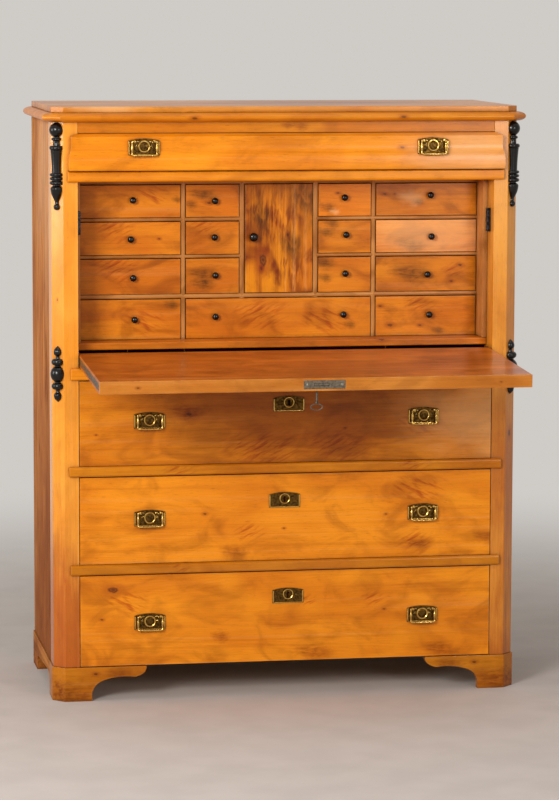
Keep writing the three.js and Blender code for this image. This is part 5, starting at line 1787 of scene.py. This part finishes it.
@dataclass
class Gallery(Assembly):
    """The writing compartment: deck, gallery boards, small drawers and the cupboard door."""

    edge_round: float = 3.2 * MM
    drawer_front: float = 10 * MM
    drawer_box: DrawerBox = DrawerBox(6 * MM, 5 * MM, MM, 3 * MM, 0.3 * MM, 0.5 * MM)
    box_gap: Pair = (0.3 * MM, 1.5 * MM)
    door_knob: Pair = (17.5 * MM, 0.515)
    end_thickness: float = 10.5 * MM
    shelf_levels: Pairs = (
        (872.5 * MM, 883 * MM), (961.5 * MM, 970 * MM), (1043 * MM, 1052 * MM), (1124.5 * MM, 1136.75 * MM)
    )
    divider: Pair = (208.5 * MM, 219 * MM)
    upright: Pair = (76.5 * MM, 88.5 * MM)

    def build(self) -> None:
        """Builds the whole compartment."""
        self.build_deck()
        for side in Side:
            self.build_bay(side)
        self.build_centre()
        for name, (knobs, *look) in SMALL_DRAWERS.items():
            self.build_drawer(name, knobs, Marks.on(self.lines.gallery_front, *look))
        self.build_door()

    def build_deck(self) -> None:
        """Builds the fixed part of the writing surface, and the nails in the gap under it."""
        low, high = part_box("deck")
        deck = self.lines.notched(low.y, low.z, high.z)
        deck.softened(2.4 * MM, 3, lambda middle: middle.y < low.y + MM).grown(Axis.X)
        knots = ((0.22, low.y, high.z, 5 * MM), (-0.35, 0.07, high.z, 6 * MM))
        # The two dark stains at the back of the deck are painted shade where it meets the gallery's front.
        stains = ((-0.4, 0.08, high.z, 0.08), (0.3, 0.09, high.z, 0.1))
        self.fixed("writing_deck", DECK_PINE, [deck], ["deck"], Marks(0, knots, stains))
        nails = []
        for x, lean in ((-0.345, 6), (-0.22, -4), (0.232, 9)):
            turn = Matrix.Rotation(math.radians(180 + lean), 4, "Y")
            nails.append(Hardware.pin(0.7 * MM, 7 * MM).moved(put_at(x, low.y + 5 * MM, low.z + MM) @ turn))
        self.fixed("deck_nails", IRON, nails)

    def rounded(self, run: Axis, start: float, end: float, low: float, high: float) -> Solid:
        """A gallery board with a rounded front edge.

        Args:
            run: The way that it runs, X for a shelf or Z for an upright.
            start: Where it starts along that way.
            end: Where it ends.
            low: Its lower or left face.
            high: Its upper or right face.

        Returns:
            The board.
        """
        front, back = self.lines.gallery_front, self.lines.board_back
        depth = self.edge_round
        middle, half = (low + high) / 2, (high - low) / 2
        bulge = arc((front + depth, middle), (depth, half), 270, 90, 10)
        outline = [(back, low), *bulge, (back, high)]
        if run is Axis.Z:
            outline = [(b, a) for a, b in outline]
        return Solid.prism(outline, run, start, end).grown(run)

    def build_bay(self, side: Side) -> None:
        """Builds an outer bay: end panel, tall divider and shelves."""
        node = f"gallery_bay_{side.word}"
        low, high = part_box(node)
        way, lines = side.value, self.lines
        half = lines.inner - self.end_thickness
        ends = sorted((way * half, high.x if way > 0 else low.x))
        panel = Solid.board((ends[0], low.y, low.z), (ends[1], high.y, high.z), Axis.Z, 0.6 * MM)
        divider = self.rounded(Axis.Z, low.z, high.z, *side.between(*self.divider))
        spans = side.between(sum(self.divider) / 2, half + lines.joint)
        shelves = [self.rounded(Axis.X, *spans, *level) for level in self.shelf_levels]
        inner = way * half
        marks = {
            Side.LEFT: Marks(0.0, ((inner, 0.1, 0.95, 5 * MM),), ((inner, 0.09, 1.05, 0.05),)),
            Side.RIGHT: Marks(
                0.02, ((inner, 0.1, 0.93, 5 * MM),),
                ((inner, 0.1, 1.08, 0.045), (inner, 0.09, 0.9, 0.05), (0.214, 0.13, 1.036, 0.022))
            )
        }
        self.fixed(f"outer_bay_{side.word}", GALLERY_PINE, [panel, divider, *shelves], [node], marks[side])

    def build_centre(self) -> None:
        """Builds the middle of the gallery: uprights and shelves."""
        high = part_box("gallery_centre")[1]
        middle_divider, middle_upright = sum(self.divider) / 2, sum(self.upright) / 2
        levels = self.shelf_levels
        boards = [self.rounded(Axis.X, -middle_divider, middle_divider, *levels[i]) for i in (0, 3)]
        for side in Side:
            boards.append(self.rounded(Axis.Z, levels[0][0], high.z, *side.between(*self.upright)))
            spans = side.between(middle_upright, middle_divider)
            boards += [self.rounded(Axis.X, *spans, *level) for level in levels[1:3]]
        self.fixed("cupboard_frame", GALLERY_PINE, boards, ["gallery_centre"])

    def build_drawer(self, name: str, knobs: Pairs, marks: Marks) -> None:
        """Builds a small drawer.

        Args:
            name: Its name.
            knobs: Where each knob sits, as shares of the front's width and height.
            marks: What shows on its front.
        """
        low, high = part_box(name)
        face = self.lines.gallery_front
        inner, body = face + self.drawer_front, f"{name}_body"
        front = Solid.board((low.x, face, low.z), (high.x, inner, high.z), Axis.X, 1.0 * MM)
        self.bench.piece(f"{name}_front", body, SMALL_DRAWER_PINE, [front], [name], marks)
        aside, below = self.box_gap
        near = (low.x + aside, inner, low.z)
        boards = self.drawer_box.boards(near, (high.x - aside, high.y, high.z - below))
        self.bench.piece(f"{name}_box", body, BARE_PINE, boards)
        for i, (across, up) in enumerate(knobs):
            place = Vector((low.x + across * (high.x - low.x), face, low.z + up * (high.z - low.z)))
            self.bench.piece(f"{name}_knob_{i + 1}", body, BLACK, [Knobs().knob(place)])

    def build_door(self) -> None:
        """Builds the cupboard door with its larger knob."""
        low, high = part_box("gallery_door")
        face = self.lines.gallery_front
        door = Solid.board((low.x, face, low.z), (high.x, high.y, high.z), Axis.Z, 1.2 * MM)
        knots = ((-0.035, 0.955, 0.01), (-0.039, 0.937, 0.003), (0.02, 1.011, 0.003))
        stains = ((0.06, 1.085, 0.045), (-0.04, 1.05, 0.03), (0.03, 0.985, 0.03))
        flames = ((-0.038, 1.05, 0.07), (0.03, 0.93, 0.05), (0.01, 1.04, 0.06))
        marks = Marks.on(face, 0.0, knots, stains, flames)
        self.bench.piece("cupboard_door", "gallery_door_body", DOOR_PINE, [door], ["gallery_door"], marks)
        aside, up = self.door_knob
        place = Vector((low.x + aside, face, low.z + up * (high.z - low.z)))
        knob = Knobs(radius=9.8 * MM).knob(place)
        self.bench.piece("cupboard_door_knob", "gallery_door_body", BLACK, [knob])


@dataclass
class Flap(Assembly):
    """The fall flap with its straps, lock and key, drawn round its pivot and then lowered."""

    thickness: float = 27 * MM
    gap: float = 1.5 * MM
    reach: float = 385.5 * MM
    half: float = 457.7 * MM
    droop: float = 2.4
    lipping: float = 6 * MM
    strap: Pair = (5 * MM, 14 * MM)
    strap_margin: float = 14 * MM
    arm: float = 35 * MM
    stud: Pair = (5 * MM, 14 * MM)
    clearance: float = 0.3 * MM
    slot_ease: float = 0.7 * MM
    lock_x: float = 13 * MM
    lock_plate: Triple = (88 * MM, 18 * MM, 2.5 * MM)
    lock_case: Triple = (64 * MM, 13 * MM, 45 * MM)
    bolt: Triple = (31 * MM, 24 * MM, 5 * MM)
    bolt_x: float = 7 * MM
    key_x: float = 1 * MM
    key_backset: float = 25 * MM
    key_drop: float = 31 * MM
    shank: float = 39 * MM
    bow: Pair = (12.2 * MM, 6.6 * MM)
    bow_sides: int = 40
    screw_shares: tuple[float, ...] = (0.03, 0.35, 0.67, 0.9)
    plate_screws: tuple[Pair, ...] = ((-1, 15), (1, 70))

    @staticmethod
    def pivot(lines: CaseLines) -> Vector:
        """The axis on which the flap turns."""
        half = Flap.thickness / 2
        return Vector((0, lines.front + half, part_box("writing_rail")[1].z + Flap.gap + half))

    def build(self) -> None:
        """Builds the flap with its ironwork."""
        drop = Matrix.Rotation(math.radians(self.droop), 4, "X")
        self.place = Matrix.Translation(self.pivot(self.lines)) @ drop
        self.build_panel()
        for side in Side:
            self.build_strap(side)
        self.build_lock()
        self.build_key()

    def block(
        self, x: float, width: float, height: float, near: float, far: float, soft: float = 0.0
    ) -> Solid:
        """A block across the flap's middle plane.

        Args:
            x: Its middle's place along the flap.
            width: Its width.
            height: Its height, half above the plane and half below.
            near: How far behind the flap's front edge it starts.
            far: How far behind that edge it ends.
            soft: How far its edges are eased.

        Returns:
            The block.
        """
        low = (x - width / 2, near - self.reach, -height / 2)
        return Solid.board(low, (x + width / 2, far - self.reach, height / 2), soft=soft)

    def fix(
        self, name: str, body: str, finish: Finish, solids: list[Solid], nodes: Sequence[str] = ()
    ) -> None:
        """Fixes ironwork to the lowered flap."""
        self.bench.piece(name, body, finish, [solid.moved(self.place) for solid in solids], nodes)

    def build_panel(self) -> None:
        """Builds the flap's board, with recesses for its ironwork."""
        half = self.thickness / 2
        outline = [
            (-self.reach, -half), (-self.reach, half), (half, half), *arc((0, 0), (half, half), 0, -90, 12)
        ]
        panel = Solid.prism(outline, Axis.X, -self.half, self.half).softened(1.1 * MM)
        (deep, wide), fit = self.strap, self.clearance
        cutters = []
        for side in Side:
            left, right = side.between(self.half - deep - fit, self.half + 5 * MM)
            low = (left, -self.reach + self.strap_margin - fit, -wide / 2 - fit)
            cutters.append(Solid.board(low, (right, half + 5 * MM, wide / 2 + fit), soft=0))
        for (width, height, depth), near in ((self.lock_plate, -5 * MM), (self.lock_case, 0.0)):
            cutters.append(self.block(self.lock_x, width + 2 * fit, height + 2 * fit, near, depth + fit))
        hole = Solid.turned([(3 * MM, -half - 5 * MM), (3 * MM, 0)], 20)
        cutters.append(hole.moved(put_at(self.key_x, -self.reach + self.key_backset, 0)))
        panel.less(*cutters)
        joint, far = -self.reach + self.lipping, 0.1
        lipping = panel.moved(Matrix()).less(
            Solid.board((-1, joint, -far), (1, far, far), soft=0)
        ).grown(Axis.X)
        panel.less(Solid.board((-1, -1, -far), (1, joint, far), soft=0)).grown(Axis.X)
        front, top = -0.411, 0.75
        stains = ((0.33, -0.2, top, 0.07), (0.05, -0.35, top, 0.1), (-0.15, -0.3, top, 0.06))
        marks = Marks(0.0, ((0.1, -0.25, top, 4 * MM),), stains)
        self.bench.piece("fall_panel", "fall_flap", FLAP_PINE, [panel.moved(self.place)], ["flap"], marks)
        marks = Marks.on(front, -0.1, ((-0.378, 0.733, 0.002), (0.39, 0.733, 0.0015)))
        self.bench.piece("fall_lipping", "fall_flap", LIPPING_PINE, [lipping.moved(self.place)], (), marks)

    def build_strap(self, side: Side) -> None:
        """Builds an iron strap with its arm, its stud and its screws."""
        way = side.value
        deep, wide = self.strap
        front, half = -self.reach + self.strap_margin, wide / 2
        tail = arc((self.arm - half, 0), (half, half), -90, 90, 10)
        outline = [(front, -half), *tail, (front, half)]
        edges = side.between(self.half - deep, self.half)
        strap = Solid.prism(outline, Axis.X, *edges).softened(0.5 * MM)
        radius, reach = self.stud
        stud = Hardware.pin(radius, deep + 1.8 * MM + reach)
        solids = [strap, stud.moved(put_at(way * (self.half - deep)) @ side.outward)]
        for share in self.screw_shares:
            at = put_at(way * self.half, front + share * (self.reach - self.strap_margin), 0)
            solids.append(Hardware(head_rise=0.4 * MM).screw(360 * share).moved(at @ side.outward))
        self.fix(f"iron_strap_{side.word}", "fall_flap", IRON, solids, [f"flap_strap_{side.word}"])

    def build_lock(self) -> None:
        """Builds the lock's face plate and case, and its bolt."""
        width, height, depth = self.lock_plate
        plate = self.block(self.lock_x, width, height, 0, depth, 0.4 * MM)
        wide, length, high = self.bolt
        fit, ease = 2 * self.clearance, 2 * self.slot_ease
        slot = self.block(self.bolt_x, wide + fit, high + fit, -5 * MM, length + self.clearance)
        case_width, case_height, case_depth = self.lock_case
        case = self.block(self.lock_x, case_width, case_height, depth, case_depth, 0.4 * MM)
        plate.less(self.block(self.bolt_x, wide + ease, high + ease, -5 * MM, 5 * MM))
        case.less(slot)
        screws = []
        for way, turn in self.plate_screws:
            at = put_at(self.lock_x + way * (width / 2 - 7 * MM), 0.25 * MM - self.reach, 0)
            screw = Hardware(head_radius=3.2 * MM, head_rise=0.5 * MM).screw(turn)
            screws.append(screw.moved(at @ FRONTWARD))
        self.fix("fall_lock", "fall_flap", IRON, [plate, case], ["lock_case"])
        self.fix("fall_lock_screws", "fall_flap", BRIGHT_IRON, screws)
        bolt = self.block(self.bolt_x, wide, high, 0.2 * MM, length, 0.5 * MM)
        self.fix("fall_bolt", "flap_bolt", IRON, [bolt], ["lock_bolt"])

    def build_key(self) -> None:
        """Builds the key that hangs in the lock: shank with collars, and an oval bow."""
        foot = -self.thickness / 2 - self.key_drop
        turner = Turner().taper(2.2, 2.2, 2).bead(2.6, 3.8, 2.6).taper(2.4, 2.4, 1)
        turner.bead(2.4, 3.3, 1.8).taper(2.5, 2.5, 31.6)
        shank = Solid.turned(turner.profile(self.shank), 16).moved(put_at(z=foot))
        count = self.bow_sides
        ring = arc((0, foot - self.bow[1]), self.bow, 90, 450, count)[:-1]
        radii = [(1.15 + 0.3 * abs(math.sin(2 * math.pi * i / count))) * MM for i in range(count)]
        bow = Solid.tube([(x, 0, z) for x, z in ring], radii, 10, closed=True)
        hole = put_at(self.key_x, -self.reach + self.key_backset, 0)
        self.fix("fall_key", "flap_key", IRON, [shank.moved(hole), bow.moved(hole)], ["key"])


@dataclass
class Studio:
    """The camera at the photograph's angle, soft lamps, a pale floor and a pale background."""

    camera_place: Triple = (-1.23773, -7.079266, 1.5247)
    yaw: float = 9.83
    pitch: float = 6.92
    roll: float = 0.16
    lens: float = 147.817
    sensor: float = 36.0
    backdrop: str = "cfcbc6"
    floor: str = "c2b8b0"
    mottle: str = "a69c95"
    fade: Pair = (1.0, 3.2)
    floor_radii: Pair = (0.6, 6.0)
    floor_sides: int = 96
    ambient: tuple[float, float, float, float] = (1.0, 0.98, 0.95, 1.0)
    ambient_strength: float = 0.4

    def build(self) -> None:
        """Builds the studio."""
        bpy.context.scene.view_settings.view_transform = "Standard"
        self.add_camera()
        self.add_lamps()
        self.add_world()
        self.add_floor()

    def add_camera(self) -> None:
        """Sets up the camera from its yaw, pitch and roll."""
        yaw, pitch, roll = (math.radians(a) for a in (self.yaw, self.pitch, self.roll))
        ahead = Vector((math.sin(yaw) * math.cos(pitch), math.cos(yaw) * math.cos(pitch), -math.sin(pitch)))
        level = Vector((math.cos(yaw), -math.sin(yaw), 0))
        up = level.cross(ahead)
        right = math.cos(roll) * level + math.sin(roll) * up
        upward = math.cos(roll) * up - math.sin(roll) * level
        data = bpy.data.cameras.new("camera")
        data.lens, data.sensor_fit = self.lens, "VERTICAL"
        data.sensor_height = data.sensor_width = self.sensor
        camera = bpy.data.objects.new("camera", data)
        turn = Matrix((right, upward, -ahead)).transposed().to_4x4()
        camera.matrix_world = Matrix.Translation(self.camera_place) @ turn
        bpy.context.scene.collection.objects.link(camera)
        bpy.context.scene.camera = camera

    def add_lamps(self) -> None:
        """Hangs soft boxes: two at the front, one at the left side and one overhead."""
        for name, place, aim, size, power in (
            ("left soft box", (-2.5, -3.4, 2.05), (-0.1, 0.0, 0.8), (1.3, 1.3), 138.0),
            ("side soft box", (-3.0, -0.35, 1.35), (-0.5, 0.0, 1.2), (0.8, 1.0), 22.0),
            ("right soft box", (1.5, -4.0, 1.6), (0.45, 0.0, 1.1), (0.7, 0.9), 34.0),
            ("overhead soft box", (0.0, -0.6, 3.6), (0.0, 0.0, 0.6), (2.4, 1.6), 18.0)
        ):
            data = bpy.data.lights.new(name, "AREA")
            data.shape, data.energy = "RECTANGLE", power
            data.size, data.size_y = size
            lamp = bpy.data.objects.new(name, data)
            lamp.location = place
            lamp.rotation_euler = (Vector(aim) - Vector(place)).to_track_quat("-Z", "Y").to_euler()
            bpy.context.scene.collection.objects.link(lamp)

    @staticmethod
    def seen(graph: Graph) -> Socket:
        """One for rays that show the background: from the camera, or by gloss or glass."""
        light = graph.node("LightPath")
        direct = graph.math("MAXIMUM", light.outputs["Is Camera Ray"], light.outputs["Is Glossy Ray"])
        return graph.math("MAXIMUM", direct, light.outputs["Is Transmission Ray"])

    def add_world(self) -> None:
        """Makes the background pale where it is seen, and a dim even light elsewhere."""
        world = bpy.data.worlds.new("studio")
        world.use_nodes = True
        bpy.context.scene.world = world
        graph = Graph(world.node_tree)
        ambient = world.node_tree.nodes["Background"]
        ambient.inputs["Color"].default_value = self.ambient
        ambient.inputs["Strength"].default_value = self.ambient_strength
        backdrop = graph.node("Background")
        backdrop.inputs["Color"].default_value = colour(self.backdrop)
        end = world.node_tree.nodes["World Output"]
        graph.surface(end, self.seen(graph), ambient.outputs[0], backdrop.outputs[0])

    def add_floor(self) -> None:
        """Lays the floor, which fades into the background far from the object."""
        sides = self.floor_sides
        turns = [2 * math.pi * i / sides for i in range(sides)]
        rings = [(r * math.cos(t), r * math.sin(t), 0.0) for r in self.floor_radii for t in turns]
        near = [(1 + i, 1 + (i + 1) % sides) for i in range(sides)]
        faces = [(0, a, b) for a, b in near] + [(a, sides + a, sides + b, b) for a, b in near]
        mesh = bpy.data.meshes.new("floor")
        mesh.from_pydata([(0, 0, 0), *rings], [], faces)
        floor = bpy.data.objects.new("floor", mesh)
        bpy.context.scene.collection.objects.link(floor)
        material = bpy.data.materials.new("studio floor")
        material.use_nodes = True
        mesh.materials.append(material)
        graph = Graph(material.node_tree)
        shader = material.node_tree.nodes["Principled BSDF"]
        place = graph.node("TexCoord").outputs["Object"]
        mottle = graph.span(graph.noise(place, 9.0, 5.0), 0.3, 0.7)
        floor_colour = graph.mix(graph.times(mottle, 0.25), colour(self.floor), colour(self.mottle))
        graph.feed(shader.inputs["Base Color"], floor_colour)
        shader.inputs["Roughness"].default_value = 0.85
        backdrop = graph.node("Emission")
        backdrop.inputs["Color"].default_value = colour(self.backdrop)
        fade = graph.span(graph.length(place), *self.fade)
        end = material.node_tree.nodes["Material Output"]
        graph.surface(end, graph.times(fade, self.seen(graph)), shader.outputs[0], backdrop.outputs[0])


def build_drawers(lines: CaseLines, bench: Bench) -> None:
    """Builds the large drawers and the moulded one."""
    y = lines.front
    for name, (share, aside, *look) in LARGE_DRAWERS.items():
        LargeDrawer(lines, bench, name, share, aside, Marks.on(y, *look)).build()
    # On the top drawer, the pale stain at X 0.42 is a painted sheen on the front's right end.
    knots, flames = ((0.25, y - 0.015, 1.209, 0.0035),), ((0.287, y, 1.173, 0.018),)
    marks = Marks(0.0, knots, ((0.245, y, 1.167, 0.012), (0.42, y, 1.19, -0.1)), flames)
    TopDrawer(lines, bench, "top_drawer", marks=marks).build()


def main() -> None:
    """Loads the frame and builds the studio and the classes in order."""
    logging.basicConfig(level=logging.INFO, format="%(message)s", stream=sys.stdout)
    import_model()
    Studio().build()
    lines, bench = CaseLines(), Bench()
    for part in (Case, Base, Turnings, Gallery, Flap):
        part(lines, bench).build()
    build_drawers(lines, bench)
    bench.log.info("%d pieces in all", bench.made)


if __name__ == "__main__":
    main()
